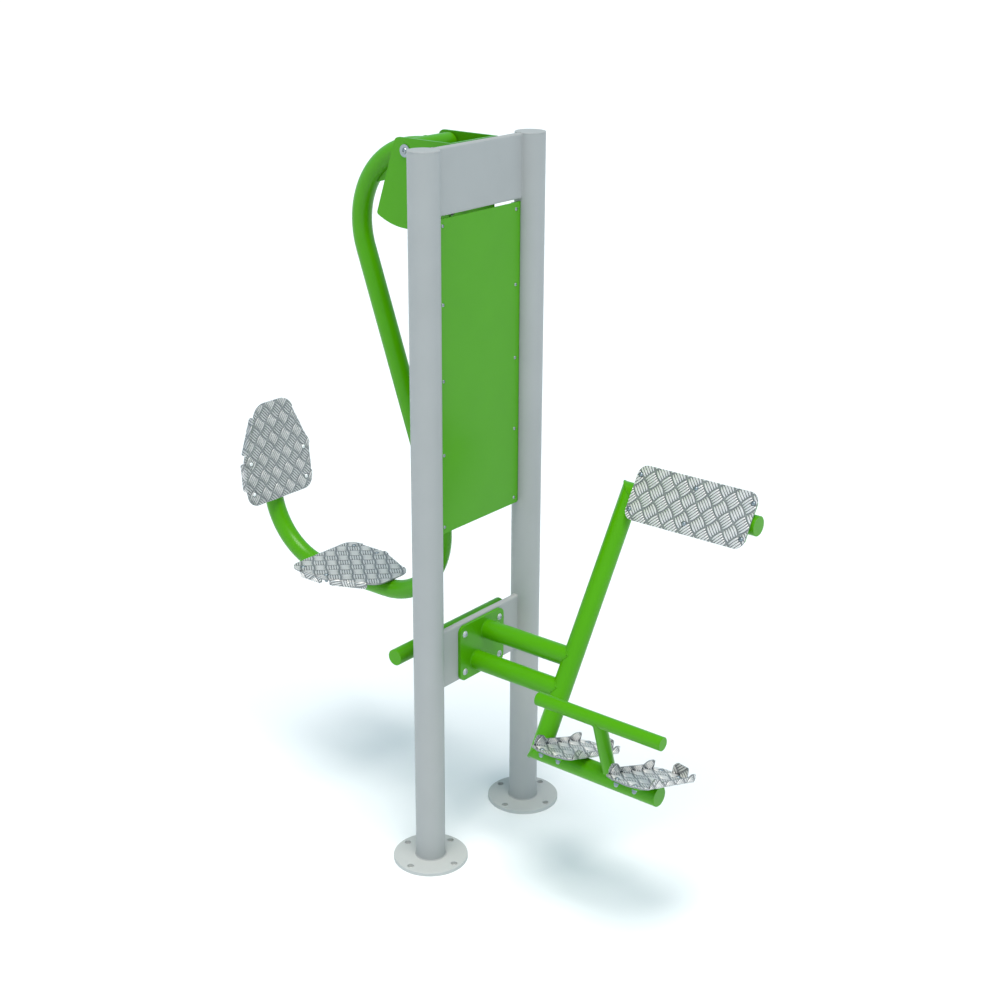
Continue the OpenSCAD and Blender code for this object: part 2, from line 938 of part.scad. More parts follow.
// The sole's outlines of bent edges are [along, up]
module sole() {
    half = sole_w / 2;
    near_heel = [-0.7 * heel_l, 5 - half];
    near_toe = [toe_l - 11, -half - 3];
    far_toe = [toe_l - 30, half - 13];
    far_heel = [-0.36 * heel_l, half - 3];
    far_corner = [-0.83 * heel_l, half + 1];
    outline = [
        near_heel, near_toe, [toe_l, 24 - half], [toe_l, half - 27], far_toe,
        far_heel, far_corner, [-0.96 * heel_l, half - 33],
        [-heel_l, -0.26 * half], [-0.85 * heel_l, 17 - half]
    ];
    toe_a = [toe_l, 26 - half];
    toe_b = [toe_l, half - 63];
    flap_a = far_heel + 6 * unit(far_corner - far_heel);
    flap_b = far_heel + 52 * unit(far_corner - far_heel);
    near_l = norm(near_toe - near_heel);
    far_l = norm(far_toe - far_heel);
    toe_edge_l = norm(toe_b - toe_a);
    flap_l = norm(flap_b - flap_a);
    foot = tread_t + tread_bend_r;
    // Near edge: a tooth by the heel and a tab by the toes
    near_leg = [
        [0, foot], [0, foot + 5], [20, sole_tab_h + 3], [40, sole_tab_h - 2], [57, sole_edge_h - 5],
        [64, sole_edge_h], [near_l - 30, sole_edge_h], [near_l - 18, sole_tab_h - 3],
        [near_l, sole_tab_h - 3], [near_l, foot]
    ];
    // Far edge: a tab by the toes
    far_leg = [
        [0, foot], [0, sole_tab_h + 1], [27, sole_tab_h], [52, sole_edge_h],
        [far_l, sole_edge_h + 2], [far_l, foot]
    ];
    toe_leg = [
        [0, foot], [2, sole_tab_h + 3], [toe_edge_l - 10, sole_tab_h + 8],
        [toe_edge_l, sole_tab_h - 4], [toe_edge_l, foot]
    ];
    heel_leg = [
        [0, foot], [0, sole_edge_h + 2], [15, sole_tab_h + 4], [flap_l - 8, sole_tab_h + 5],
        [flap_l, sole_edge_h], [flap_l, foot]
    ];
    difference() {
        union() {
            difference() {
                linear_extrude(tread_t)
                    polygon(rounded(outline, [14, 4, 6, 16, 8, 0, 16, 22, 26, 22], 5));
                edge_strip(near_heel, near_toe);
                edge_strip(far_toe, far_heel);
                edge_strip(toe_a, toe_b);
                edge_strip(flap_a, flap_b);
            }
            bent_edge(near_heel, near_toe, near_leg, [0, 4, 7, 7, 5, 4, 8, 7, 5, 0]);
            bent_edge(far_toe, far_heel, far_leg, [0, 6, 10, 14, 4, 0]);
            bent_edge(toe_a, toe_b, toe_leg, [0, 6, 6, 6, 0]);
            bent_edge(flap_a, flap_b, heel_leg, [0, 2, 8, 8, 5, 0]);
        }
        translate([0, 0, -sole_seat])
            foot_bolt_holes();
    }
}

module foot_plate_near() {
    color(tread_grey)
        on_foot_plate(1)
            translate([0, 0, sole_seat])
                sole();
}

module foot_plate_far() {
    color(tread_grey)
        on_foot_plate(-1)
            translate([0, 0, sole_seat])
                sole();
}

module foot_brackets() {
    color(green)
        for (place = [-1, 1])
            on_foot_plate(place)
                difference() {
                    translate([0, 0, sole_seat - bracket_t])
                        linear_extrude(bracket_t)
                            polygon(rounded_box(bracket_l, bracket_w, 10));
                    foot_bolt_holes();
                }
}

module foot_plate_bolts() {
    color(steel)
        for (place = [-1, 1])
            on_foot_plate(place)
                at_foot_bolts(sole_seat + tread_t)
                    button_bolt(tread_bolt_d, tread_t + bracket_t + tread_bolt_d);
}

// Cap nuts behind the thigh pad and under the foot plates
module frame_dome_nuts() {
    color(steel) {
        at_pad_bolts(main_r + weld_gap)
            mirror([0, 0, 1])
                dome_nut(tread_bolt_d);
        for (place = [-1, 1])
            on_foot_plate(place)
                at_foot_bolts(sole_seat - bracket_t)
                    mirror([0, 0, 1])
                        dome_nut(tread_bolt_d);
    }
}

// Foot bar of the leg press, on two stubs behind the lower crossmember

module along_press_bar(from) {
    translate([from - press_l / 2, press_y, press_z])
        rotate([0, 90, 0])
            children();
}

module press_bar_stubs() {
    color(green)
        difference() {
            for (side = [-1, 1])
                translate([side * stub_pitch / 2, rear_plate_y, press_z])
                    rotate([-90, 0, 0])
                        tube(press_y - rear_plate_y, stub_d, press_wall);
            along_press_bar(0)
                cylinder(h = press_l, r = press_r + weld_gap);
        }
}

module press_bar() {
    color(green)
        along_press_bar(cap_t)
            tube(press_l - 2 * cap_t, press_d, press_wall);
}

module press_bar_caps() {
    color(green) {
        along_press_bar(press_l - cap_t)
            end_cap(press_d, press_wall);
        along_press_bar(cap_t)
            mirror([0, 0, 1])
                end_cap(press_d, press_wall);
    }
}

// Fork: back plate and side plates. The pivot's own frame has X back, Y up and Z along the axle

module on_pivot(x) {
    translate([x, pivot_y, pivot_z])
        rotate([90, 0, 90])
            children();
}

module fork_outline() {
    front = fork_front_y - pivot_y;
    edge_l = sqrt(fork_r * fork_r - fork_edge * fork_edge);
    low = fork_edge * [cos(fork_slope), sin(fork_slope)] + edge_l * [sin(fork_slope), -cos(fork_slope)];
    low_angle = atan2(low.x, -low.y);
    top_x = (fork_edge - pivot_drop * sin(fork_slope)) / cos(fork_slope);
    steps = 7;
    arc = [for (i = [0:steps - 1]) fork_r * [sin(low_angle * i / steps), -cos(low_angle * i / steps)]];
    polygon(rounded(
        [[front, pivot_drop], [front, -fork_r], each arc, low, [top_x, pivot_drop]],
        [0, 0, each [for (i = arc) 0], 7, 20]));
}

module side_plate(side) {
    on_pivot(side > 0 ? fork_gap / 2 : -fork_w / 2)
        difference() {
            linear_extrude(fork_t)
                fork_outline();
            translate([0, 0, -eps])
                cylinder(h = fork_t + 2 * eps, d = bearing_id + 2 * axle_gap);
        }
}

module pivot_back_plate() {
    color(green)
        translate([-fork_w / 2, member_y1, top_member_z])
            cube([fork_w, back_plate_t, member_h]);
}

module pivot_side_plate_left() {
    color(green)
        side_plate(-1);
}

module pivot_side_plate_right() {
    color(green)
        side_plate(1);
}

// Axle, bearings and housing

module pivot_axle() {
    axle_l = fork_w - 1;
    color(steel)
        on_pivot(-axle_l / 2)
            difference() {
                cylinder(h = axle_l, d = bearing_id);
                for (z = [-eps, axle_l - 30 + eps])
                    translate([0, 0, z])
                        cylinder(h = 30, d = axle_bolt_d + 2 * press_gap);
            }
}

module pivot_washers() {
    color(steel)
        for (x = [-fork_w / 2 - axle_washer_t, fork_w / 2])
            on_pivot(x)
                washer(axle_washer_d, axle_bolt_d + 2 * bolt_gap, axle_washer_t);
}

module pivot_bolts() {
    color(steel)
        for (side = [0, 1])
            mirror([side, 0, 0])
                on_pivot(fork_w / 2 + axle_washer_t)
                    button_bolt(axle_bolt_d, axle_washer_t + 25);
}

// Both bearings sit flush in the housing's ends
module at_bearings() {
    for (x = [-housing_l / 2, housing_l / 2 - bearing_b])
        on_pivot(x)
            children();
}

// Ring section between two radii, with the balls' groove in it
module bearing_ring(inner, outer) {
    rotate_extrude()
        difference() {
            translate([inner, 0])
                square([outer - inner, bearing_b]);
            translate([ball_track_r, bearing_b / 2])
                circle(d = ball_d + 2 * ball_gap);
        }
}

module bearing_inner_rings() {
    color(steel)
        at_bearings()
            bearing_ring(bearing_id / 2 + press_gap, ball_track_r - ring_lip);
}

module bearing_outer_rings() {
    color(steel)
        at_bearings()
            bearing_ring(ball_track_r + ring_lip, bearing_od / 2 - press_gap);
}

module bearing_balls() {
    color(steel)
        at_bearings()
            for (i = [0:ball_count - 1])
                rotate([0, 0, i * 360 / ball_count])
                    translate([ball_track_r, 0, bearing_b / 2])
                        sphere(d = ball_d);
}

module bearing_seals() {
    seal_t = 1.2;
    color(rubber)
        at_bearings()
            for (z = [0.3, bearing_b - seal_t - 0.3])
                translate([0, 0, z])
                    linear_extrude(seal_t)
                        difference() {
                            circle(ball_track_r + ring_lip - press_gap);
                            circle(ball_track_r - ring_lip + 0.3);
                        }
}

// Spacers keep the inner rings apart and clear of the side plates
module bearing_spacers() {
    inner_l = housing_l - 2 * bearing_b;
    color(steel) {
        on_pivot(-inner_l / 2)
            washer(spacer_d, bearing_id + 2 * press_gap, inner_l);
        for (x = [-fork_gap / 2, housing_l / 2])
            on_pivot(x)
                washer(spacer_d, bearing_id + 2 * press_gap, housing_end_gap);
    }
}

module pivot_housing() {
    color(green)
        on_pivot(-housing_l / 2)
            difference() {
                cylinder(h = housing_l, d = housing_d);
                translate([0, 0, -eps])
                    cylinder(h = housing_l + 2 * eps, d = housing_bore_d);
                for (z = [-eps, housing_l - bearing_b])
                    translate([0, 0, z])
                        cylinder(h = bearing_b + eps, d = bearing_od);
            }
}

// Stops: two bars across the fork with rubber buffers, one at each end of the swing

module at_stops(x) {
    for (a = [rest_stop, out_stop])
        on_pivot(x)
            translate(stop_r * [sin(a), -cos(a)])
                children();
}

module stop_bars() {
    color(green)
        at_stops(-fork_gap / 2)
            cylinder(h = fork_gap, d = stop_bar_d);
}

module stop_buffers() {
    color(rubber)
        at_stops(-buffer_l / 2)
            washer(buffer_d, stop_bar_d + 2 * press_gap, buffer_l);
}

// Swing arm

module swing_arm() {
    color(green)
        difference() {
            rotate([90, 0, 90])
                bent_tube(arm_points, bend_r, main_d, main_wall);
            on_pivot(-housing_l / 2)
                cylinder(h = housing_l, r = housing_r + weld_gap);
        }
}

// Gusset under the top bend, with the tongue that meets the stops
module arm_gusset() {
    centre = knee_centre - pivot_point;
    inner_r = bend_r - main_r - weld_gap;
    tip = centre + inner_r * [cos(gusset_tip_angle), sin(gusset_tip_angle)];
    beyond = centre + bend_r * [cos(gusset_tip_angle + 4), sin(gusset_tip_angle + 4)];
    first_leg = atan2(knee_in.y, knee_in.x);
    color(green)
        on_pivot(-gusset_t / 2)
            linear_extrude(gusset_t)
                difference() {
                    union() {
                        polygon([[0, 0], [6, -2 * housing_r], tip, beyond, [main_d, 0]]);
                        rotate([0, 0, -tongue_lean])
                            polygon(rounded([[-1, 0], [-1, -1], [1, -1], [1, 0]] * [[tongue_w / 2, 0], [0, tongue_r]], [0, 10, 10, 0]));
                    }
                    circle(housing_r + weld_gap);
                    rotate([0, 0, first_leg])
                        translate([0, -main_r - weld_gap])
                            square([bend_r, 2 * main_d]);
                    translate(centre)
                        ring(4 * bend_r, 2 * bend_r - inner_r);
                }
}

module arm_end_cap() {
    color(green)
        translate([0, back_point.x, back_point.y])
            rotate([-back_lean, 0, 0])
                end_cap(main_d, main_wall);
}

// Seat and backrest: one tread plate shape with its side edges bent away from the user.
// Its outer face lies on z = 0, its broad end on y = 0

module body_plate() {
    shoulder_y = 157;
    corner_y = 50;
    right = [[body_low, 0], [body_wide, corner_y], [body_wide, shoulder_y], [body_top, body_l]];
    left = [for (i = [3:-1:0]) [-right[i].x, right[i].y]];
    slope = unit(right[3] - right[2]);
    slope_l = norm(right[3] - right[2]);
    lower_edge = [right[1] + [0, 5], right[2] - [0, 9]];
    upper_edge = [right[2] + 20 * slope, right[2] + (slope_l - 42) * slope];
    edges = [lower_edge, upper_edge];
    flap = tread_t + tread_bend_r;
    difference() {
        union() {
            difference() {
                linear_extrude(tread_t)
                    polygon(rounded([each right, each left], [40, 20, 40, 54, 54, 40, 20, 40]));
                for (side = [0, 1], e = edges)
                    mirror([side, 0, 0])
                        edge_strip(e[0], e[1]);
            }
            for (side = [0, 1], e = edges) {
                l = norm(e[1] - e[0]);
                mirror([side, 0, 0])
                    bent_edge(e[0], e[1], [[0, flap], [0, body_edge_h], [l, body_edge_h], [l, flap]], [0, 7, 9, 0]);
            }
        }
        for (side = [-1, 1], row = [0, 1])
            translate([side * body_bolt_x, body_bolt_low + row * body_bolt_pitch, -eps])
                cylinder(h = tread_t + 2 * eps, d = tread_bolt_d + 2 * bolt_gap);
    }
}

// The body frame lies in a plate's place: Y runs from its broad end, Z towards the tube
module on_seat() {
    translate([0, seat_rear_y, seat_top_z])
        rotate([180, 0, 0])
            children();
}

module on_backrest() {
    translate([0, rise_point.x, rise_point.y])
        rotate([-back_lean, 0, 0])
            translate([0, -body_seat - tread_t, back_rise])
                rotate([90, 0, 180])
                    children();
}

module at_body_bolts(z) {
    for (side = [-1, 1], row = [0, 1])
        translate([side * body_bolt_x, body_bolt_low + row * body_bolt_pitch, z])
            children();
}

module body_straps() {
    difference() {
        for (row = [0, 1])
            translate([0, body_bolt_low + row * body_bolt_pitch, tread_t])
                linear_extrude(strap_t)
                    polygon(rounded_box(2 * body_bolt_x + strap_w, strap_w, 8));
        at_body_bolts(0)
            cylinder(h = 2 * (tread_t + strap_t), d = tread_bolt_d + 2 * bolt_gap);
    }
}

module body_bolts() {
    at_body_bolts(0)
        mirror([0, 0, 1])
            button_bolt(tread_bolt_d, tread_t + strap_t + tread_bolt_d);
}

module body_nuts() {
    at_body_bolts(tread_t + strap_t)
        dome_nut(tread_bolt_d);
}

module seat_straps() {
    color(green)
        on_seat()
            body_straps();
}

module seat_plate() {
    color(tread_grey)
        on_seat()
            body_plate();
}

module seat_bolts() {
    color(steel)
        on_seat()
            body_bolts();
}

module backrest_straps() {
    color(green)
        on_backrest()
            body_straps();
}

module backrest_plate() {
    color(tread_grey)
        on_backrest()
            body_plate();
}

module backrest_bolts() {
    color(steel)
        on_backrest()
            body_bolts();
}

// Cap nuts under the seat and behind the backrest
module seat_dome_nuts() {
    color(steel) {
        on_seat()
            body_nuts();
        on_backrest()
            body_nuts();
    }
}

post_left();
post_right();
post_caps();
base_flange_left();
base_flange_right();
top_crossmember();
lower_crossmember();
crush_sleeves();
panel();
panel_rails();
panel_screws();
front_joint_plate();
support_tube_upper();
support_tube_lower();
mast();
pad_bar();
pad_straps();
thigh_pad_plate();
pad_bolts();
foot_bar();
main_bar_caps();
ankle_stub();
ankle_bar();
ankle_bar_caps();
foot_brackets();
foot_plate_near();
foot_plate_far();
foot_plate_bolts();
frame_dome_nuts();
rear_joint_plate();
press_bar_stubs();
press_bar();
press_bar_caps();
joint_bolts();
joint_washers();
joint_nuts();
pivot_back_plate();
pivot_side_plate_left();
pivot_side_plate_right();
pivot_axle();
pivot_washers();
pivot_bolts();
bearing_inner_rings();
bearing_spacers();
stop_bars();
stop_buffers();
pivot_housing();
bearing_outer_rings();
bearing_balls();
bearing_seals();
swing_arm();
arm_gusset();
arm_end_cap();
seat_straps();
seat_plate();
seat_bolts();
backrest_straps();
backrest_plate();
backrest_bolts();
seat_dome_nuts();
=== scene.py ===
# Outdoor leg press and back extension: finishes, rolled tread pattern, weld seams, lights and camera
import json
import math

import bmesh
import bpy
from mathutils import Matrix, Vector


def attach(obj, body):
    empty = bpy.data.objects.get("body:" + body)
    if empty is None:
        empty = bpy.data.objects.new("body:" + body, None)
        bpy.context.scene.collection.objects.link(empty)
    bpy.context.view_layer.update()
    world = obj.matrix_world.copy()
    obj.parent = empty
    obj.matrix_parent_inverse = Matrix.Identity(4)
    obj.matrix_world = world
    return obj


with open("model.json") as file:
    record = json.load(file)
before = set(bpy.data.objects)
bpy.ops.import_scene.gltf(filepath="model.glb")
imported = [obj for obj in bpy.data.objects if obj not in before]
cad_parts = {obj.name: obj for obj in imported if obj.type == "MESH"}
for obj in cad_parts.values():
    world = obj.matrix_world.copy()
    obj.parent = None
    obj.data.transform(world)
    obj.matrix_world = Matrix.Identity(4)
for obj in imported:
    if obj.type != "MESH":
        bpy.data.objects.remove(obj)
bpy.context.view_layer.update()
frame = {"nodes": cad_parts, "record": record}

nodes = frame["nodes"]
MM = 0.001

# Real sizes of the station that the finishes are fitted to, in millimetres

# Posts and crossmembers
POST_X = 231.5
POST_R = 45
FLANGE_T = 12
MEMBER_H = 186
MEMBER_Y0 = -6
MEMBER_Y1 = 14
MEMBER_CORNER_R = 7
TOP_MEMBER_Z = 1980
LOWER_MEMBER_Z = 556
JOINT_PLATE_T = 10

# Back extension: the mast through the upper support tube's end, the thigh pad above and the foot bar below
MAIN_R = 30
MAST_MIDDLE = Vector((24, -339.5, 687))
MAST_LEAN = 32
SUPPORT_PITCH = 98.5
MAST_BELOW = 285.5
MAST_ABOVE = 521.5
PAD_MIDDLE = 227
ANKLE_Y = 251.5
ANKLE_LEAN = 17.75
ANKLE_RISE = 220.5
ANKLE_R = 20
FOOT_TILT = 18
FOOT_MID = 240.5
FOOT_PITCH = 260

# Leg press: the bar for the feet, the swinging seat, its pivot and its stops
PRESS_BAR_Y = 118
PRESS_BAR_Z = 651
PRESS_BAR_R = 25
PRESS_STUB_X = 55
PRESS_STUB_R = 20
SEAT_REAR_Y = 669.5
SEAT_TUBE_Z = 725.5
RISE_Y = 860
BACK_LEAN = 5
BACK_RISE = 194.5
PIVOT = Vector((0, 182, 2130.5))
HOUSING_R = 31.5
ARM_WAY = Vector((0, 352, -36))
ARM_SEAM_REACH = 90
FORK_GAP = 184
CHEEK_T = 8
STOP_R = 185
STOP_BAR_R = 10
STOP_ANGLES = (-17.23, 27.24)

# Tread plates: their thickness and bends, and how far their undersides lie from the centres of their tubes
TREAD_T = 4
TREAD_BEND_R = 3
BEND_C = TREAD_T + TREAD_BEND_R
PAD_SEAT = 34.2
SOLE_SEAT = 35.2
BODY_SEAT = 36.2

# Seat and backrest plates, from the middle of their lower edge
BODY_HALF_W = 147
BODY_TOP_HALF_W = 70
BODY_L = 327
BODY_CORNER_Y = 50
BODY_SHOULDER_Y = 157

# How far the bent edges of those plates end from the corners, lower and upper; a foot plate's far heel lip
LOWER_BEND_ENDS = (5, 9)
UPPER_BEND_ENDS = (20, 42)
HEEL_LIP = (6, 52)

# Bolts of the tread plates, from each plate's own origin, and the radius pressed flat under a head
BODY_BOLT_X = 118
BODY_BOLT_ROWS = (40, 142.5)
PAD_BOLT_X = 54
PAD_BOLT_PITCH = 190.5
SOLE_BOLT_X = 116
SOLE_BOLT_Y = 30
BOLT_CLEAR_R = 8.4

# Cells of tread on each plate: how far apart like cells lie along its X and Y, and the place of one of them
BODY_SPANS = (53.3, 58.5)
SEAT_CELL = (18.3, 203.9)
BACK_CELL = (-15, 232.8)
PAD_SPANS = (60, 54.4)
PAD_CELL = (-44.4, 147.2)
SOLE_SPANS = (54.5, 54.5)
SOLE_CELL = (34, 12)

# Radius that the powder rounds a sheared edge to, and how far the painted shade reaches out of a gap in the
# tread
COAT_EDGE = 1.2
SHADE_REACH = 6

# Rolled tread: bars in a cell, their height above the sheet and depth in it, the share of the cell they
# fill, how blunt they are, and how the outer ones are longer and bow outwards, in shares of half a cell
BAR_COUNT = 5
BAR_RISE = 1.4
BAR_SUNK = 0.4
BAR_FILL = 0.88
BAR_BLUNT = 0.7
BAR_REACH = 0.85
BAR_REACH_OUTER = 0.06
BAR_SPREAD = 0.895
BAR_BOW = 0.12

# Lap of a bend's strip of tread over the level and upright ones, so that each is closed by itself
STRIP_LAP = 0.02

# Slab that cuts the bars to a plate's outline: how far it reaches below and above the sheet
SLAB_BELOW = 1
SLAB_ABOVE = 3

# CAD faces that carry tread: how far they may lie from its skin and past a bend's ends, how nearly they
# face its way, and how little the normal of an upright one may lean
SKIN_SLACK = 0.3
RUN_SLACK = 1
FACING = 0.99
UPRIGHT = 0.02

# Angles in degrees past which an edge of a bar or of a weld bead stays sharp
BAR_SHARP = 38
BEAD_SHARP = 50

# Weld beads: radii from the widest to the narrowest, steps along a seam, the length of a ripple and the
# share of the radius that it adds, how far the flanges' beads stand out of the posts, and how far the fork's
# end short of the crossmember's edges
WIDE_BEAD = 2.6
ARM_BEAD = 2.4
MAIN_BEAD = 2.2
SLIM_BEAD = 2.0
THIN_BEAD = 1.8
MEMBER_BEAD = 1.7
BEAD_STEP = 1.6
BEAD_RIPPLE = 4.8
BEAD_SWELL = 0.1
FLANGE_BEAD_OUT = 0.6
SEAM_INSET = 4

# Points round a plain ring seam, and round a seam that follows another tube or a mitre
RING_POINTS = 48
COPE_POINTS = 96

# Seams of the straps: how far they lie from the tube's centre and to either side of it, and their lengths
# behind the pad, under the foot plates, and under the seat and backrest
STRAP_SEAT = 29.4
STRAP_SEAM_SIDE = 9
PAD_STRAP_SEAM = 20
SOLE_STRAP_SEAM = 88
BODY_STRAP_SEAM = 32


# Colours and shader nodes

def linear(hex_colour):
    """An sRGB hex colour, such as 4c9c1e, as linear red, green, blue and alpha."""
    values = [int(hex_colour[i:i + 2], 16) / 255 for i in (0, 2, 4)]
    return [v / 12.92 if v <= 0.04045 else ((v + 0.055) / 1.055) ** 2.4 for v in values] + [1.0]


def add(tree, kind, inputs=None, **settings):
    """Adds a shader node; inputs maps a socket to a value or to another node's output."""
    made = tree.nodes.new("ShaderNode" + kind)
    for name, value in settings.items():
        setattr(made, name, value)
    for socket, value in (inputs or {}).items():
        if isinstance(value, bpy.types.NodeSocket):
            tree.links.new(value, made.inputs[socket])
        else:
            made.inputs[socket].default_value = value
    return made


def new_material(name, shade):
    """A material whose surface is what shade(tree) returns."""
    material = bpy.data.materials.new(name)
    material.use_nodes = True
    tree = material.node_tree
    tree.nodes.clear()
    add(tree, "OutputMaterial", {"Surface": shade(tree).outputs[0]})
    return material


def mottled(tree, place, size, dark, light):
    """A colour that drifts between two close ones in patches of the given size in millimetres."""
    patches = add(tree, "TexNoise", {"Vector": place, "Scale": 1 / (size * MM), "Detail": 3.0})
    ramp = add(tree, "ValToRGB", {0: patches.outputs[0]})
    ramp.color_ramp.elements[0].position = 0.3
    ramp.color_ramp.elements[0].color = linear(dark)
    ramp.color_ramp.elements[1].position = 0.7
    ramp.color_ramp.elements[1].color = linear(light)
    return ramp.outputs[0]


def ripple(tree, place, size, height, strength, edge=0.0):
    """A bump of soft waves of the given size and height in millimetres, over edges eased to a radius."""
    waves = add(tree, "TexNoise", {"Vector": place, "Scale": 1 / (size * MM), "Detail": 2.0})
    bump = add(tree, "Bump", {"Height": waves.outputs[0], "Distance": height * MM, "Strength": strength})
    if edge:
        eased = add(tree, "Bevel", {"Radius": edge * MM}, samples=4)
        tree.links.new(eased.outputs[0], bump.inputs["Normal"])
    return bump.outputs[0]


def powder_coat(dark, light, roughness, peel, coat, gloss):
    """Polyester powder baked on steel: an even colour and a closed skin; peel is its waves' height in mm."""
    def shade(tree):
        place = add(tree, "TexCoord").outputs["Object"]
        return add(tree, "BsdfPrincipled", {
            "Base Color": mottled(tree, place, 140, dark, light),
            "Normal": ripple(tree, place, 3.2, peel, 0.35, COAT_EDGE),
            "Roughness": roughness,
            "IOR": 1.5,
            "Specular IOR Level": gloss,
            "Coat Weight": coat,
            "Coat Roughness": 0.12,
        })
    return shade


def bare_metal(dark, light, roughness, grain, depth, metallic=1.0):
    """Bare metal with a fine directionless grain left by its making; grain and depth in millimetres.

    The real grain is a few tenths of a millimetre, and is drawn coarser so that it shows.
    """
    def shade(tree):
        place = add(tree, "TexCoord").outputs["Object"]
        scuffs = add(tree, "TexNoise", {"Vector": place, "Scale": 1 / (9 * MM), "Detail": 4.0})
        spread = add(tree, "MapRange", {
            0: scuffs.outputs[0], 1: 0.35, 2: 0.65, 3: roughness - 0.05, 4: roughness + 0.07})
        return add(tree, "BsdfPrincipled", {
            "Base Color": mottled(tree, place, 30, dark, light),
            "Normal": ripple(tree, place, grain, depth, 0.4),
            "Roughness": spread.outputs[0],
            "Metallic": metallic,
        })
    return shade


def rolled_sheet(tree):
    """Mill aluminium sheet, its colour darkened by painted shade in the narrow gaps between the bars."""
    place = add(tree, "TexCoord").outputs["Object"]
    gaps = add(tree, "AmbientOcclusion", {"Distance": SHADE_REACH * MM}, samples=6)
    # Painted shade: the more the bars and parts close by occlude the sheet, the nearer its colour turns to
    # dark grey
    gap_shade = add(tree, "MapRange", {0: gaps.outputs["AO"], 1: 0.86, 2: 1.0})
    tint = add(tree, "MixRGB", {
        0: gap_shade.outputs[0], 1: linear("33393c"), 2: mottled(tree, place, 30, "959697", "a3a4a4")})
    return add(tree, "BsdfPrincipled", {
        "Base Color": tint.outputs[0],
        "Normal": ripple(tree, place, 1.2, 0.05, 0.4),
        "Roughness": 0.5,
        "Metallic": 0.75,
    })


def moulded_rubber(tree):
    """Carbon black rubber straight from the mould: near black, dull and finely pitted."""
    place = add(tree, "TexCoord").outputs["Object"]
    return add(tree, "BsdfPrincipled", {
        "Base Color": mottled(tree, place, 12, "1b1c1d", "27282a"),
        "Normal": ripple(tree, place, 1.5, 0.15, 0.6),
        "Roughness": 0.72,
        "IOR": 1.52,
    })


# Gloss powder coat: the strong yellow green of the tubes and plates, with clear soft reflections
green_coat = new_material("green_gloss_powder_coat", powder_coat(
    "4c9c00", "4e9f00", roughness=0.32, peel=0.10, coat=0.05, gloss=0.24))
# Satin powder coat: the neutral cool grey of the posts and crossmembers, with a broad dull highlight
grey_coat = new_material("grey_satin_powder_coat", powder_coat(
    "a7a8a7", "abacab", roughness=0.46, peel=0.08, coat=0.0, gloss=0.4))
# Satin powder coat over thick plate: the paler grey of the anchor flanges
pale_coat = new_material("pale_grey_powder_coat", powder_coat(
    "b6b8b6", "bbbdbb", roughness=0.5, peel=0.08, coat=0.0, gloss=0.4))
# Rolled aluminium sheet between the bars: painted shade darkens it in the gaps, so the bars stand out
sheet_metal = new_material("tread_sheet_aluminium", rolled_sheet)
# Crowns of the rolled bars on the thigh pad: bright mill finish in the lightest of three tones of one bar
# finish, painted light
bar_finish_lit = new_material("tread_bars_painted_light", bare_metal(
    "eae5e4", "f4efee", roughness=0.42, grain=0.9, depth=0.04, metallic=0.6))
# The same bars on the seat and the foot plates in a darker tone: painted shade
bar_finish_shaded = new_material("tread_bars_painted_shade", bare_metal(
    "d3d1cf", "dedcda", roughness=0.45, grain=0.9, depth=0.04, metallic=0.6))
# The same bars on the backrest in a darker tone still: painted shade
bar_finish_deep_shade = new_material("tread_bars_painted_deeper_shade", bare_metal(
    "c0bfbe", "cbcac9", roughness=0.45, grain=0.9, depth=0.04, metallic=0.6))
# Stainless steel of the pivot's and the panel's fasteners and the joint's nuts: tumbled to an even sheen
stainless = new_material("tumbled_stainless_steel", bare_metal(
    "9ea4a8", "aab0b4", roughness=0.36, grain=0.8, depth=0.03))
# Stainless domes painted almost white: a painted highlight
painted_highlight_steel = new_material("stainless_steel_painted_highlight", bare_metal(
    "f2f4f5", "fafbfb", roughness=0.3, grain=0.8, depth=0.02, metallic=0.15))
# Stainless of the joint's large button heads and washers, painted lighter: a painted reflection of the
# walls' light
painted_reflection_steel = new_material("stainless_steel_painted_reflection", bare_metal(
    "b4b9bc", "bfc4c7", roughness=0.42, grain=0.8, depth=0.02, metallic=0.35))
# The same steel in the shade of the tread and under it, painted darker and bluer: painted shade
painted_shade_steel = new_material("stainless_steel_painted_shade", bare_metal(
    "8f9aa2", "a1abb2", roughness=0.5, grain=0.8, depth=0.03))
# Ground bearing steel of the axle, rings, balls and sleeves: smooth and bright
bearing_steel = new_material("ground_bearing_steel", bare_metal(
    "9b9fa4", "adb1b6", roughness=0.2, grain=0.5, depth=0.02))
# Rubber of the buffers and bearing seals: near black and dull
rubber = new_material("moulded_black_rubber", moulded_rubber)

SLOT_MATERIALS = {
    "green_powder_coat": green_coat,
    "grey_powder_coat": grey_coat,
    "flange_coat": pale_coat,
    "tread_plate": sheet_metal,
    "stainless_steel": stainless,
    "bearing_steel": bearing_steel,
    "rubber": rubber,
}

# Fasteners given copies of the stainless steel painted lighter or darker: painted highlight, reflection and
# shade
NODE_MATERIALS = {
    "backrest_bolts": painted_highlight_steel,
    "joint_bolts": painted_reflection_steel,
    "joint_washers": painted_reflection_steel,
}
for fastener in ("pad_bolts", "foot_plate_bolts", "frame_dome_nuts", "seat_dome_nuts", "seat_bolts"):
    NODE_MATERIALS[fastener] = painted_shade_steel


def dress_nodes():
    """Gives every CAD node the finish of its slot in the record, or its own where it has one."""
    for part in frame["record"]["subparts"]:
        mesh = nodes[part["node"]].data
        finish = NODE_MATERIALS.get(part["node"], SLOT_MATERIALS[part["material_slot"]])
        mesh.materials.clear()
        mesh.materials.append(finish)


# Places, turns and the making of pieces

IN_METRES = Matrix.Scale(MM, 4)


def at(x, y, z):
    """A shift in millimetres."""
    return Matrix.Translation((x, y, z))


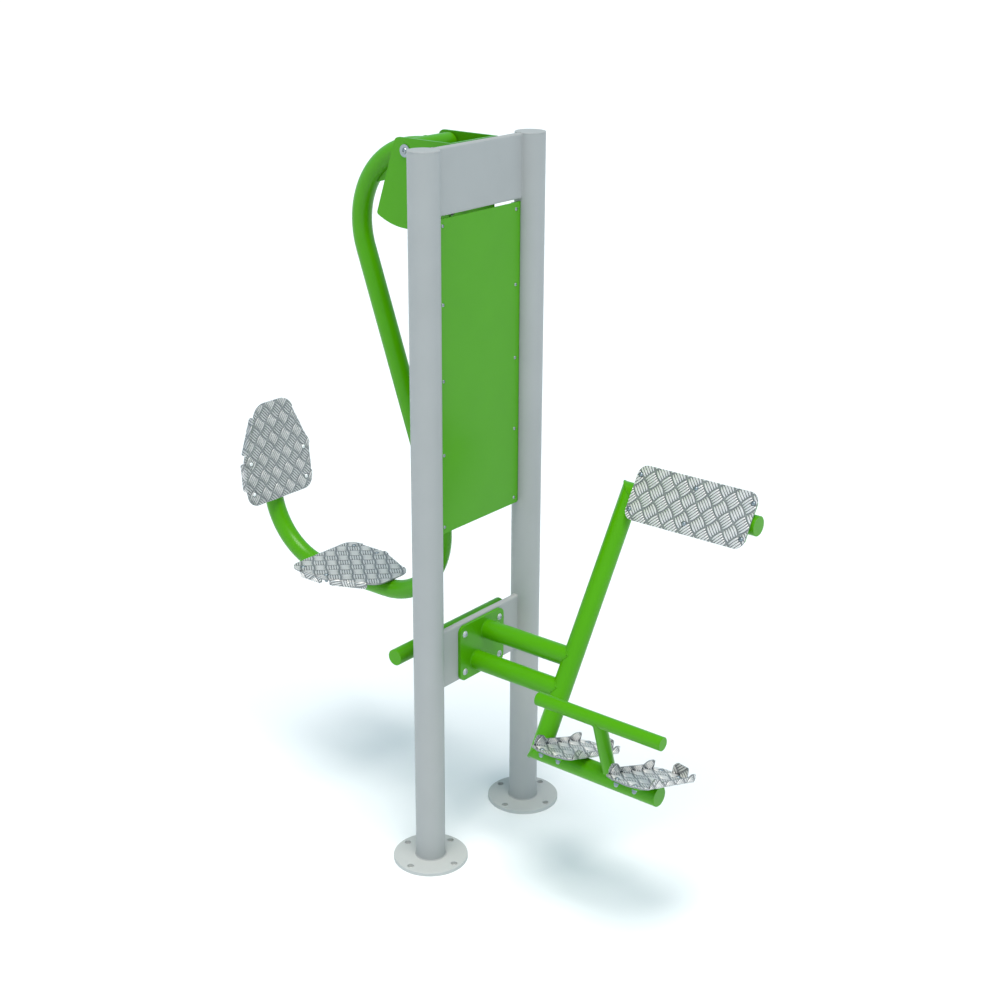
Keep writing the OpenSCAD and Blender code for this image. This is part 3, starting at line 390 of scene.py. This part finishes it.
def rotation(x, y, z):
    """Rotations about X, then Y, then Z in degrees, as the part's own source turns its pieces."""
    turn = Matrix.Rotation(math.radians(z), 4, "Z")
    turn = turn @ Matrix.Rotation(math.radians(y), 4, "Y")
    return turn @ Matrix.Rotation(math.radians(x), 4, "X")


def mast_point(s):
    """Point on the mast's centre line, at a distance above the upper support tube."""
    lean = math.radians(MAST_LEAN)
    return MAST_MIDDLE + Vector((s * math.sin(lean), 0, s * math.cos(lean)))


def sole_middle(side):
    """Point on the foot bar's centre line under a foot plate: side 1 is the near plate, -1 the far one."""
    return mast_point(-MAST_BELOW) - Vector((0, FOOT_MID + side * FOOT_PITCH / 2, 0))


def backrest_tube():
    """The frame of the tube behind the backrest, its Z up along the tube."""
    return at(0, RISE_Y, SEAT_TUBE_Z) @ rotation(-BACK_LEAN, 0, 0)


def finish_piece(name, mesh, material, body):
    """Links a mesh that is already in place as a piece on a body."""
    piece = bpy.data.objects.new(name, mesh)
    bpy.context.scene.collection.objects.link(piece)
    mesh.materials.clear()
    mesh.materials.append(material)
    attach(piece, body)
    return piece


def mesh_from(bm, name):
    """The mesh that a bmesh holds; uses the bmesh up."""
    mesh = bpy.data.meshes.new(name)
    bm.to_mesh(mesh)
    bm.free()
    return mesh


def smoothed(mesh, sharp):
    """Closes a mesh in metres, turns its faces outwards and smooths each edge below an angle in degrees."""
    bm = bmesh.new()
    bm.from_mesh(mesh)
    bmesh.ops.remove_doubles(bm, verts=bm.verts, dist=1e-7)
    bmesh.ops.recalc_face_normals(bm, faces=bm.faces)
    for face in bm.faces:
        face.smooth = True
    bm.to_mesh(mesh)
    bm.free()
    mesh.set_sharp_from_angle(angle=math.radians(sharp))


# Five-bar tread on the seat, the backrest, the thigh pad and the foot plates

def tread_bar(number):
    """One bar of a cell, in shares of half the cell: a long low drop, its flat side sunk into the sheet."""
    middle = 2 * (number + 0.5) / BAR_COUNT - 1
    bm = bmesh.new()
    lying = Matrix.Rotation(math.pi / 2, 4, "Y")
    bmesh.ops.create_uvsphere(bm, u_segments=8, v_segments=6, radius=1, matrix=lying)
    bmesh.ops.delete(bm, geom=[v for v in bm.verts if v.co.z < -0.01], context="VERTS")
    bmesh.ops.holes_fill(bm, edges=bm.edges, sides=0)
    bmesh.ops.recalc_face_normals(bm, faces=bm.faces)
    for v in bm.verts:
        v.co.y = math.copysign(abs(v.co.y) ** BAR_BLUNT, v.co.y)
        v.co.z = max(v.co.z, 0) ** BAR_BLUNT
    size = (BAR_REACH + BAR_REACH_OUTER * middle ** 2, BAR_FILL / BAR_COUNT, BAR_RISE + BAR_SUNK)
    bmesh.ops.scale(bm, verts=bm.verts, vec=size)
    bmesh.ops.translate(bm, verts=bm.verts, vec=(0, 0, -BAR_SUNK))
    for v in bm.verts:
        v.co.y += middle * (BAR_SPREAD + BAR_BOW * (1 - v.co.x ** 2))
    return mesh_from(bm, "tread_bar")


def tread_cell(along, across):
    """Five bars side by side, stretched over a cell that reaches from its centre by along and by across."""
    bm = bmesh.new()
    for number in range(BAR_COUNT):
        bar = tread_bar(number)
        bm.from_mesh(bar)
        bpy.data.meshes.remove(bar)
    cell = mesh_from(bm, "tread_cell")
    cell.transform(Matrix((
        (along[0], across[0], 0, 0),
        (along[1], across[1], 0, 0),
        (0, 0, 1, 0),
        (0, 0, 0, 1),
    )))
    return cell


def tread_field(slab, spans, start):
    """Cells of bars over a slab in the flat layout: like cells a span apart in X and Y, one at start."""
    wide, high = spans[0] / 4, spans[1] / 4
    cells = (tread_cell((wide, high), (-wide, high)), tread_cell((-wide, high), (-wide, -high)))
    ranges = []
    for axis in (0, 1):
        reach = [v.co[axis] for v in slab.vertices]
        ends = ((min(reach) - start[axis]) / spans[axis], (max(reach) - start[axis]) / spans[axis])
        ranges.append(range(math.floor(ends[0]) - 1, math.ceil(ends[1]) + 1))
    bm = bmesh.new()
    for cell, shift in zip(cells, (0, 0.5)):
        for column in ranges[0]:
            for row in ranges[1]:
                spot = at(start[0] + (column + shift) * spans[0], start[1] + (row + shift) * spans[1], 0)
                cell.transform(spot)
                bm.from_mesh(cell)
                cell.transform(spot.inverted())
        bpy.data.meshes.remove(cell)
    return mesh_from(bm, "tread_field")


def face_prism(faces, flatten):
    """A closed slab over flat CAD faces, each corner moved by flatten into the tread's flat layout."""
    bm = bmesh.new()
    for corners in faces:
        bm.faces.new([bm.verts.new(flatten(c)) for c in corners])
    bmesh.ops.remove_doubles(bm, verts=bm.verts, dist=0.01)
    bmesh.ops.translate(bm, verts=bm.verts, vec=(0, 0, -SLAB_BELOW))
    raised = bmesh.ops.extrude_face_region(bm, geom=bm.faces)
    top = [g for g in raised["geom"] if isinstance(g, bmesh.types.BMVert)]
    bmesh.ops.translate(bm, verts=top, vec=(0, 0, SLAB_BELOW + SLAB_ABOVE))
    bmesh.ops.recalc_face_normals(bm, faces=bm.faces)
    return mesh_from(bm, "face_prism")


def combined(first, second, operation):
    """The intersection or difference of two closed meshes; uses both up."""
    objects = [bpy.data.objects.new("solid", mesh) for mesh in (first, second)]
    for o in objects:
        bpy.context.scene.collection.objects.link(o)
    cut = objects[0].modifiers.new("cut", "BOOLEAN")
    cut.operation = operation
    cut.solver = "MANIFOLD"
    cut.object = objects[1]
    bpy.context.view_layer.update()
    cut_object = objects[0].evaluated_get(bpy.context.evaluated_depsgraph_get())
    result = bpy.data.meshes.new_from_object(cut_object)
    for o in objects:
        bpy.data.objects.remove(o)
    for mesh in (first, second):
        bpy.data.meshes.remove(mesh)
    return result


def bolt_clearings(bolts):
    """Short cylinders round the bolts, where the bars are pressed flat under the heads."""
    bm = bmesh.new()
    for x, y in bolts:
        bmesh.ops.create_cone(
            bm, cap_ends=True, segments=20, radius1=BOLT_CLEAR_R, radius2=BOLT_CLEAR_R, depth=8,
            matrix=at(x, y, 0))
    return mesh_from(bm, "bolt_clearings")


class Bend:
    """A bent edge of a tread plate, from p to q, with the plate on its left; outside is the convex face."""

    def __init__(self, p, q, outside):
        self.p = Vector(p)
        self.along = (Vector(q) - self.p).normalized()
        self.length = (Vector(q) - self.p).length
        self.inward = Vector((-self.along.y, self.along.x))
        self.radius = BEND_C if outside else TREAD_BEND_R
        self.sense = 1 if outside else -1
        self.arc = self.radius * math.pi / 2

    def flat(self, run, across):
        """The layout's point at a run along the bend and a distance inward of its edge."""
        return self.p + run * self.along + across * self.inward

    def local(self, point):
        """A point's run along the bend, and its distance inward of the edge."""
        offset = Vector((point.x, point.y)) - self.p
        return offset.dot(self.along), offset.dot(self.inward)

    def wrap(self, point):
        """Rolls a point of the flat layout round the bend and up the flange."""
        run, across = self.local(point)
        turned = BEND_C - across
        angle = min(max(turned / self.radius, 0), math.pi / 2)
        reach = self.radius + self.sense * point.z
        rest = max(turned - self.arc, 0)
        side = BEND_C - reach * math.sin(angle) if turned > 0 else across
        spot = self.flat(run, side)
        return Vector((spot.x, spot.y, BEND_C - reach * math.cos(angle) + rest))

    def unroll(self, point):
        """The flat layout's place of a point on the flange."""
        run, _ = self.local(point)
        spot = self.flat(run, BEND_C - self.arc - (point.z - BEND_C))
        return Vector((spot.x, spot.y, 0))

    def arc_faces(self):
        """The strip of the flat layout that the bend's arc takes, as one face."""
        near, far = BEND_C + STRIP_LAP, BEND_C - self.arc - STRIP_LAP
        corners = [(0, near), (0, far), (self.length, far), (self.length, near)]
        return [[self.flat(*c).to_3d() for c in corners]]


def join_meshes(meshes, name):
    """One mesh of several; uses them up."""
    bm = bmesh.new()
    for mesh in meshes:
        bm.from_mesh(mesh)
        bpy.data.meshes.remove(mesh)
    return mesh_from(bm, name)


def tread(name, node, metal, body, place, outside, bends, spans, start, bolts):
    """Rolls the five-bar tread onto a plate, on its upper face or, where outside is true, on its lower one.

    place puts the plate's own frame, in millimetres, in the part's frame.
    """
    home = place.inverted()
    mesh = nodes[node].data
    corners = [home @ v.co for v in mesh.vertices]
    up = -1 if outside else 1
    level = 0 if outside else TREAD_T
    flat_faces = []
    flange_faces = [[] for _ in bends]
    for polygon in mesh.polygons:
        points = [corners[i] for i in polygon.vertices]
        normal = (points[1] - points[0]).cross(points[2] - points[0]).normalized()
        centre = sum(points, Vector()) / len(points)
        if normal.z * up > FACING and abs(centre.z - level) < SKIN_SLACK:
            flat_faces.append(points)
        upright = abs(normal.z) < UPRIGHT
        if not upright or centre.z < BEND_C:
            continue
        for bend, found in zip(bends, flange_faces):
            run, across = bend.local(centre)
            facing = -normal.to_2d().dot(bend.inward) * bend.sense
            skin = 0 if bend.sense > 0 else TREAD_T
            beside = -RUN_SLACK < run < bend.length + RUN_SLACK
            if facing > FACING and abs(across - skin) < SKIN_SLACK and beside:
                found.append(points)
    slab = face_prism(flat_faces, lambda p: Vector((p.x, p.y, 0)))
    slab = combined(slab, bolt_clearings(bolts), "DIFFERENCE")
    flat_part = combined(tread_field(slab, spans, start), slab, "INTERSECT")
    for v in flat_part.vertices:
        v.co.z = level + up * v.co.z
    rolled = [flat_part]
    for bend, found in zip(bends, flange_faces):
        strips = [face_prism(bend.arc_faces(), lambda p: p)]
        if found:
            strips.append(face_prism(found, bend.unroll))
        for strip in strips:
            part = combined(tread_field(strip, spans, start), strip, "INTERSECT")
            for v in part.vertices:
                v.co = bend.wrap(v.co)
            rolled.append(part)
    bars = join_meshes(rolled, name)
    bars.transform(place)
    smoothed(bars, BAR_SHARP)
    return finish_piece(name, bars, metal, body)


def body_bends():
    """The four bent side edges of the seat and backrest plate, each with the plate on its left."""
    shoulder = Vector((BODY_HALF_W, BODY_SHOULDER_Y))
    slope = Vector((BODY_TOP_HALF_W, BODY_L)) - shoulder
    slope_l = slope.length
    slope.normalize()
    lower = (
        Vector((BODY_HALF_W, BODY_CORNER_Y + LOWER_BEND_ENDS[0])),
        Vector((BODY_HALF_W, BODY_SHOULDER_Y - LOWER_BEND_ENDS[1])),
    )
    upper = (shoulder + UPPER_BEND_ENDS[0] * slope, shoulder + (slope_l - UPPER_BEND_ENDS[1]) * slope)
    bends = []
    for p, q in (lower, upper):
        bends.append(Bend(p, q, True))
        bends.append(Bend((-q.x, q.y), (-p.x, p.y), True))
    return bends


def sole_bends():
    """The four bent-up edges of a foot plate, each with the plate on its left and tread inside and out."""
    near_heel, near_toe = Vector((-97.3, -65)), Vector((134, -73))
    toe_near, toe_far = Vector((145, -44)), Vector((145, 7))
    far_toe, far_heel = Vector((115, 57)), Vector((-50.04, 67))
    heel_way = (Vector((-115.37, 71)) - far_heel).normalized()
    edges = (
        (near_heel, near_toe),
        (far_toe, far_heel),
        (toe_near, toe_far),
        (far_heel + HEEL_LIP[0] * heel_way, far_heel + HEEL_LIP[1] * heel_way),
    )
    return [Bend(p, q, outside) for outside in (False, True) for p, q in edges]


def make_body_treads():
    """The tread of the seat and the backrest, on the outer side of their one shape of plate."""
    bolts = [(x, y) for x in (-BODY_BOLT_X, BODY_BOLT_X) for y in BODY_BOLT_ROWS]
    seat = at(0, SEAT_REAR_Y, SEAT_TUBE_Z + BODY_SEAT + TREAD_T) @ rotation(180, 0, 0)
    back = backrest_tube() @ at(0, -BODY_SEAT - TREAD_T, BACK_RISE) @ rotation(90, 0, 180)
    tread("seat_tread", "seat_plate", bar_finish_shaded, "swing_seat", IN_METRES @ seat, True,
          body_bends(), BODY_SPANS, SEAT_CELL, bolts)
    tread("backrest_tread", "backrest_plate", bar_finish_deep_shade, "swing_seat", IN_METRES @ back, True,
          body_bends(), BODY_SPANS, BACK_CELL, bolts)


def make_pad_tread():
    """The tread of the flat thigh pad."""
    bolts = [(x, i * PAD_BOLT_PITCH) for x in (-PAD_BOLT_X, PAD_BOLT_X) for i in (-1, 0, 1)]
    pad = Matrix.Translation(mast_point(MAST_ABOVE)) @ rotation(0, MAST_LEAN, 0)
    pad = pad @ at(-PAD_SEAT - TREAD_T, -PAD_MIDDLE, 0) @ rotation(0, 90, 0)
    tread("thigh_pad_tread", "thigh_pad_plate", bar_finish_lit, "frame", IN_METRES @ pad, True, [],
          PAD_SPANS, PAD_CELL, bolts)


def make_sole_treads():
    """The tread of the two foot plates."""
    bolts = [(x, y) for x in (-SOLE_BOLT_X, SOLE_BOLT_X) for y in (-SOLE_BOLT_Y, SOLE_BOLT_Y)]
    for name, side in (("near", 1), ("far", -1)):
        sole = Matrix.Translation(sole_middle(side)) @ rotation(0, FOOT_TILT, 0) @ at(0, 0, SOLE_SEAT)
        tread("foot_tread_" + name, "foot_plate_" + name, bar_finish_shaded, "frame", IN_METRES @ sole, False,
              sole_bends(), SOLE_SPANS, SOLE_CELL, bolts)


# Weld beads: a soft ripple along each seam, under the powder coat

def round_path(centre, first, second, radius, count=RING_POINTS):
    """Points of a circle spanned by two directions."""
    path = []
    for i in range(count):
        angle = 2 * math.pi * i / count
        spoke = math.cos(angle) * Vector(first) + math.sin(angle) * Vector(second)
        path.append(Vector(centre) + radius * spoke)
    return path


def across_of(direction):
    """Two directions square to the given one and to each other."""
    direction = Vector(direction).normalized()
    first = direction.orthogonal().normalized()
    return first, direction.cross(first)


def cope_path(origin, direction, radius, axis_point, axis, axis_radius):
    """Seam where a round tube that starts at origin runs into a tube about another axis."""
    direction = Vector(direction).normalized()
    axis = Vector(axis).normalized()
    seam = []
    for p in round_path(origin, *across_of(direction), radius, COPE_POINTS):
        offset = p - Vector(axis_point)
        offset -= offset.dot(axis) * axis
        step = direction - direction.dot(axis) * axis
        a = step.dot(step)
        b = offset.dot(step) / a
        c = (offset.dot(offset) - axis_radius ** 2) / a
        seam.append(p - (b + math.sqrt(max(b * b - c, 0))) * direction)
    return seam


def mitre_path(corner, before, after, radius):
    """Seam of two tubes that meet at a corner, one arriving along before, one leaving along after."""
    before = Vector(before).normalized()
    plane = before + Vector(after).normalized()
    seam = []
    for p in round_path(corner, *across_of(before), radius, COPE_POINTS):
        seam.append(p - (p - Vector(corner)).dot(plane) / before.dot(plane) * before)
    return seam


def bead_points(path, closed):
    """The path again in even steps."""
    spots = [Vector(p) for p in path]
    if closed:
        spots.append(spots[0])
    lengths = [(b - a).length for a, b in zip(spots, spots[1:])]
    total = sum(lengths)
    count = max(int(total / BEAD_STEP), 3)
    even = []
    piece = 0
    passed = 0.0
    for i in range(count + (0 if closed else 1)):
        goal = total * i / count
        while piece < len(lengths) - 1 and passed + lengths[piece] < goal:
            passed += lengths[piece]
            piece += 1
        share = (goal - passed) / max(lengths[piece], 1e-9)
        even.append(spots[piece].lerp(spots[piece + 1], min(share, 1)))
    return even


def weld(name, seams, material, body):
    """One piece with the beads of the given seams, each (path, radius, closed), in millimetres."""
    curve = bpy.data.curves.new(name, "CURVE")
    curve.dimensions = "3D"
    curve.bevel_depth = 1
    curve.bevel_resolution = 1
    curve.use_fill_caps = True
    for path, radius, closed in seams:
        spots = bead_points(path, closed)
        bead = curve.splines.new("POLY")
        bead.points.add(len(spots) - 1)
        bead.use_cyclic_u = closed
        for number, (point, spot) in enumerate(zip(bead.points, spots)):
            wave = math.cos(2 * math.pi * number * BEAD_STEP / BEAD_RIPPLE)
            point.co = (*spot, 1)
            point.radius = radius * (1 + BEAD_SWELL * wave)
    holder = bpy.data.objects.new(name, curve)
    mesh = bpy.data.meshes.new_from_object(holder)
    bpy.data.objects.remove(holder)
    bpy.data.curves.remove(curve)
    mesh.transform(IN_METRES)
    smoothed(mesh, BEAD_SHARP)
    return finish_piece(name, mesh, material, body)


def strap_seams(place, length):
    """Two short seams along X of a place, either side of the line where a strap touches its tube."""
    seams = []
    for side in (-STRAP_SEAM_SIDE, STRAP_SEAM_SIDE):
        ends = [place @ Vector((x, side, 0)) for x in (-length / 2, length / 2)]
        seams.append((ends, MAIN_BEAD, False))
    return seams


def member_seam(side, z):
    """Seam of a crossmember's rounded end on a post."""
    seam = []
    inner_y0, inner_y1 = MEMBER_Y0 + MEMBER_CORNER_R, MEMBER_Y1 - MEMBER_CORNER_R
    inner_z0, inner_z1 = z + MEMBER_CORNER_R, z + MEMBER_H - MEMBER_CORNER_R
    corners = (
        (inner_y1, inner_z1, 0),
        (inner_y0, inner_z1, 90),
        (inner_y0, inner_z0, 180),
        (inner_y1, inner_z0, 270),
    )
    for corner_y, corner_z, start in corners:
        for i in range(7):
            turn = math.radians(start + 15 * i)
            y = corner_y + MEMBER_CORNER_R * math.cos(turn)
            x = side * (POST_X - math.sqrt(POST_R ** 2 - y ** 2))
            seam.append(Vector((x, y, corner_z + MEMBER_CORNER_R * math.sin(turn))))
    return seam


def make_post_welds():
    """Seams of the flanges and crossmembers on the posts."""
    seams = []
    for side in (-1, 1):
        ring = round_path((side * POST_X, 0, FLANGE_T), (1, 0, 0), (0, 1, 0), POST_R + FLANGE_BEAD_OUT)
        seams.append((ring, WIDE_BEAD, True))
        for z in (TOP_MEMBER_Z, LOWER_MEMBER_Z):
            seams.append((member_seam(side, z), MEMBER_BEAD, True))
    weld("post_welds", seams, grey_coat, "frame")


def mast_seams():
    """Seams of the support tubes, and of the mitres where the mast meets the pad bar and the foot bar."""
    mast = rotation(0, MAST_LEAN, 0) @ Vector((0, 0, 1))
    seams = []
    for s in (0, -SUPPORT_PITCH):
        start = mast_point(s)
        start.y = MEMBER_Y0 - JOINT_PLATE_T
        seams.append((round_path(start, (1, 0, 0), (0, 0, 1), MAIN_R), WIDE_BEAD, True))
        seams.append((cope_path(start, (0, -1, 0), MAIN_R, mast_point(s), mast, MAIN_R), MAIN_BEAD, True))
    seams.append((mitre_path(mast_point(MAST_ABOVE), mast, (0, -1, 0), MAIN_R), THIN_BEAD, True))
    seams.append((mitre_path(mast_point(-MAST_BELOW), -mast, (0, -1, 0), MAIN_R), THIN_BEAD, True))
    return seams


def ankle_seams():
    """Seams of the stub between the foot bar and the ankle bar."""
    foot = mast_point(-MAST_BELOW) - Vector((0, ANKLE_Y, 0))
    stub = rotation(0, -ANKLE_LEAN, 0) @ Vector((0, 0, 1))
    top = foot + ANKLE_RISE * stub
    return [
        (cope_path(top, -stub, ANKLE_R, foot, (0, 1, 0), MAIN_R), MAIN_BEAD, True),
        (cope_path(foot, stub, ANKLE_R, top, (0, 1, 0), ANKLE_R), SLIM_BEAD, True),
    ]


def press_seams():
    """Seams of the stubs between the rear joint plate and the press bar."""
    seams = []
    bar = (0, PRESS_BAR_Y, PRESS_BAR_Z)
    for x in (-PRESS_STUB_X, PRESS_STUB_X):
        start = Vector((x, MEMBER_Y1 + JOINT_PLATE_T, PRESS_BAR_Z))
        seams.append((round_path(start, (1, 0, 0), (0, 0, 1), PRESS_STUB_R), MAIN_BEAD, True))
        on_bar = cope_path(start, (0, 1, 0), PRESS_STUB_R, bar, (1, 0, 0), PRESS_BAR_R)
        seams.append((on_bar, SLIM_BEAD, True))
    return seams


def pad_strap_seams():
    """Seams of the three straps that carry the thigh pad."""
    seams = []
    for i in (-1, 0, 1):
        strap = Matrix.Translation(mast_point(MAST_ABOVE)) @ rotation(0, MAST_LEAN, 0)
        strap = strap @ at(-STRAP_SEAT, -PAD_MIDDLE + i * PAD_BOLT_PITCH, 0) @ rotation(90, 0, 90)
        seams += strap_seams(strap, PAD_STRAP_SEAM)
    return seams


def sole_and_fork_seams():
    """Seams of the foot plates' brackets, and of the fork on the top crossmember."""
    seams = []
    fork_y = MEMBER_Y1 + JOINT_PLATE_T
    low_z, high_z = TOP_MEMBER_Z + SEAM_INSET, TOP_MEMBER_Z + MEMBER_H - SEAM_INSET
    for side in (-1, 1):
        bracket = Matrix.Translation(sole_middle(side)) @ rotation(0, FOOT_TILT, 0)
        bracket = bracket @ at(0, 0, STRAP_SEAT) @ rotation(0, 0, 90)
        seams += strap_seams(bracket, SOLE_STRAP_SEAM)
        for x, y in ((side * FORK_GAP / 2, fork_y), (side * (FORK_GAP / 2 + CHEEK_T), MEMBER_Y1)):
            seams.append(([Vector((x, y, low_z)), Vector((x, y, high_z))], MAIN_BEAD, False))
    return seams


def stop_seams():
    """Seams of the two stop bars in the fork's cheeks."""
    seams = []
    for angle in STOP_ANGLES:
        turn = math.radians(angle)
        spot = PIVOT + STOP_R * Vector((0, math.sin(turn), -math.cos(turn)))
        for x in (-FORK_GAP / 2, FORK_GAP / 2):
            ring = round_path(spot + Vector((x, 0, 0)), (0, 1, 0), (0, 0, 1), STOP_BAR_R)
            seams.append((ring, THIN_BEAD, True))
    return seams


def make_frame_welds():
    """Seams of the back extension frame, the press bar and the fork."""
    seams = mast_seams() + ankle_seams() + press_seams()
    seams += pad_strap_seams() + sole_and_fork_seams() + stop_seams()
    weld("frame_welds", seams, green_coat, "frame")


def make_arm_welds():
    """Seams of the swing arm on its housing, and of the straps under the plates."""
    into_arm = ARM_WAY.normalized()
    arm = cope_path(PIVOT + ARM_SEAM_REACH * into_arm, -into_arm, MAIN_R, PIVOT, (1, 0, 0), HOUSING_R)
    seams = [(arm, ARM_BEAD, True)]
    for row in BODY_BOLT_ROWS:
        seat = at(0, SEAT_REAR_Y - row, SEAT_TUBE_Z + STRAP_SEAT) @ rotation(0, 0, 90)
        seams += strap_seams(seat, BODY_STRAP_SEAM)
        back = backrest_tube() @ at(0, -STRAP_SEAT, BACK_RISE + row)
        seams += strap_seams(back @ rotation(90, 0, 0) @ rotation(0, 0, 90), BODY_STRAP_SEAM)
    weld("arm_welds", seams, green_coat, "swing_seat")


dress_nodes()
make_body_treads()
make_pad_tread()
make_sole_treads()
make_post_welds()
make_frame_welds()
make_arm_welds()


# Camera, lights and floor

CAMERA_PLACE = (-3.5855, -2.9363, 2.8508)
CAMERA_YAW = 51.403
CAMERA_PITCH = 20.529
CAMERA_ROLL = 0.299
WALL_LIGHT = 1.02
CEILING_LIGHT = 0.42
SUN_TRAVEL = (0.234, 0.187, -1.0)
SUN_POWER = 3.0
SUN_SPREAD = 34


def make_camera():
    """The photograph's viewpoint, found from the posts, the crossmembers and the round flanges."""
    data = bpy.data.cameras.new("camera")
    data.sensor_width = 36
    data.lens = 60.07
    data.shift_x = 0.0019
    data.shift_y = -0.0014
    data.clip_end = 400
    camera = bpy.data.objects.new("camera", data)
    turn = Matrix.Rotation(math.radians(-CAMERA_YAW), 4, "Z")
    turn = turn @ Matrix.Rotation(math.radians(90 - CAMERA_PITCH), 4, "X")
    turn = turn @ Matrix.Rotation(math.radians(CAMERA_ROLL), 4, "Z")
    camera.matrix_world = Matrix.Translation(CAMERA_PLACE) @ turn
    bpy.context.scene.collection.objects.link(camera)
    bpy.context.scene.camera = camera


def make_key_light():
    """A broad high softbox behind the camera, far enough away to light the whole floor alike."""
    data = bpy.data.lights.new("key_softbox", "SUN")
    data.energy = SUN_POWER
    data.angle = math.radians(SUN_SPREAD)
    data.color = linear("fffaf4")[:3]
    lamp = bpy.data.objects.new("key_softbox", data)
    lamp.matrix_world = Vector(SUN_TRAVEL).to_track_quat("-Z", "Y").to_matrix().to_4x4()
    bpy.context.scene.collection.objects.link(lamp)


def studio_paper(tree):
    """Matt white background paper: an even tone and hardly any shine."""
    return add(tree, "BsdfPrincipled", {
        "Base Color": linear("f4f6f8"),
        "Roughness": 0.9,
        "Specular IOR Level": 0.1,
    })


def make_floor():
    """A plain white studio floor that runs past the picture's edges."""
    bm = bmesh.new()
    bmesh.ops.create_grid(bm, x_segments=1, y_segments=1, size=90)
    floor = bpy.data.objects.new("studio_floor", mesh_from(bm, "studio_floor"))
    bpy.context.scene.collection.objects.link(floor)
    floor.data.materials.append(new_material("studio_floor_paper", studio_paper))


def make_world():
    """Studio walls all round that are bright near the floor and fall off to a darker ceiling."""
    world = bpy.data.worlds.new("studio")
    world.use_nodes = True
    tree = world.node_tree
    tree.nodes.clear()
    direction = add(tree, "TexCoord").outputs["Generated"]
    height = add(tree, "SeparateXYZ", {0: direction}).outputs["Z"]
    light = add(tree, "MapRange", {0: height, 1: 0.1, 2: 0.85, 3: WALL_LIGHT, 4: CEILING_LIGHT})
    sky = add(tree, "Background", {"Color": linear("c5e2f1"), "Strength": light.outputs[0]})
    tree.links.new(sky.outputs[0], add(tree, "OutputWorld").inputs["Surface"])
    bpy.context.scene.world = world


make_camera()
make_world()
make_floor()
make_key_light()
bpy.context.scene.view_settings.view_transform = "Standard"
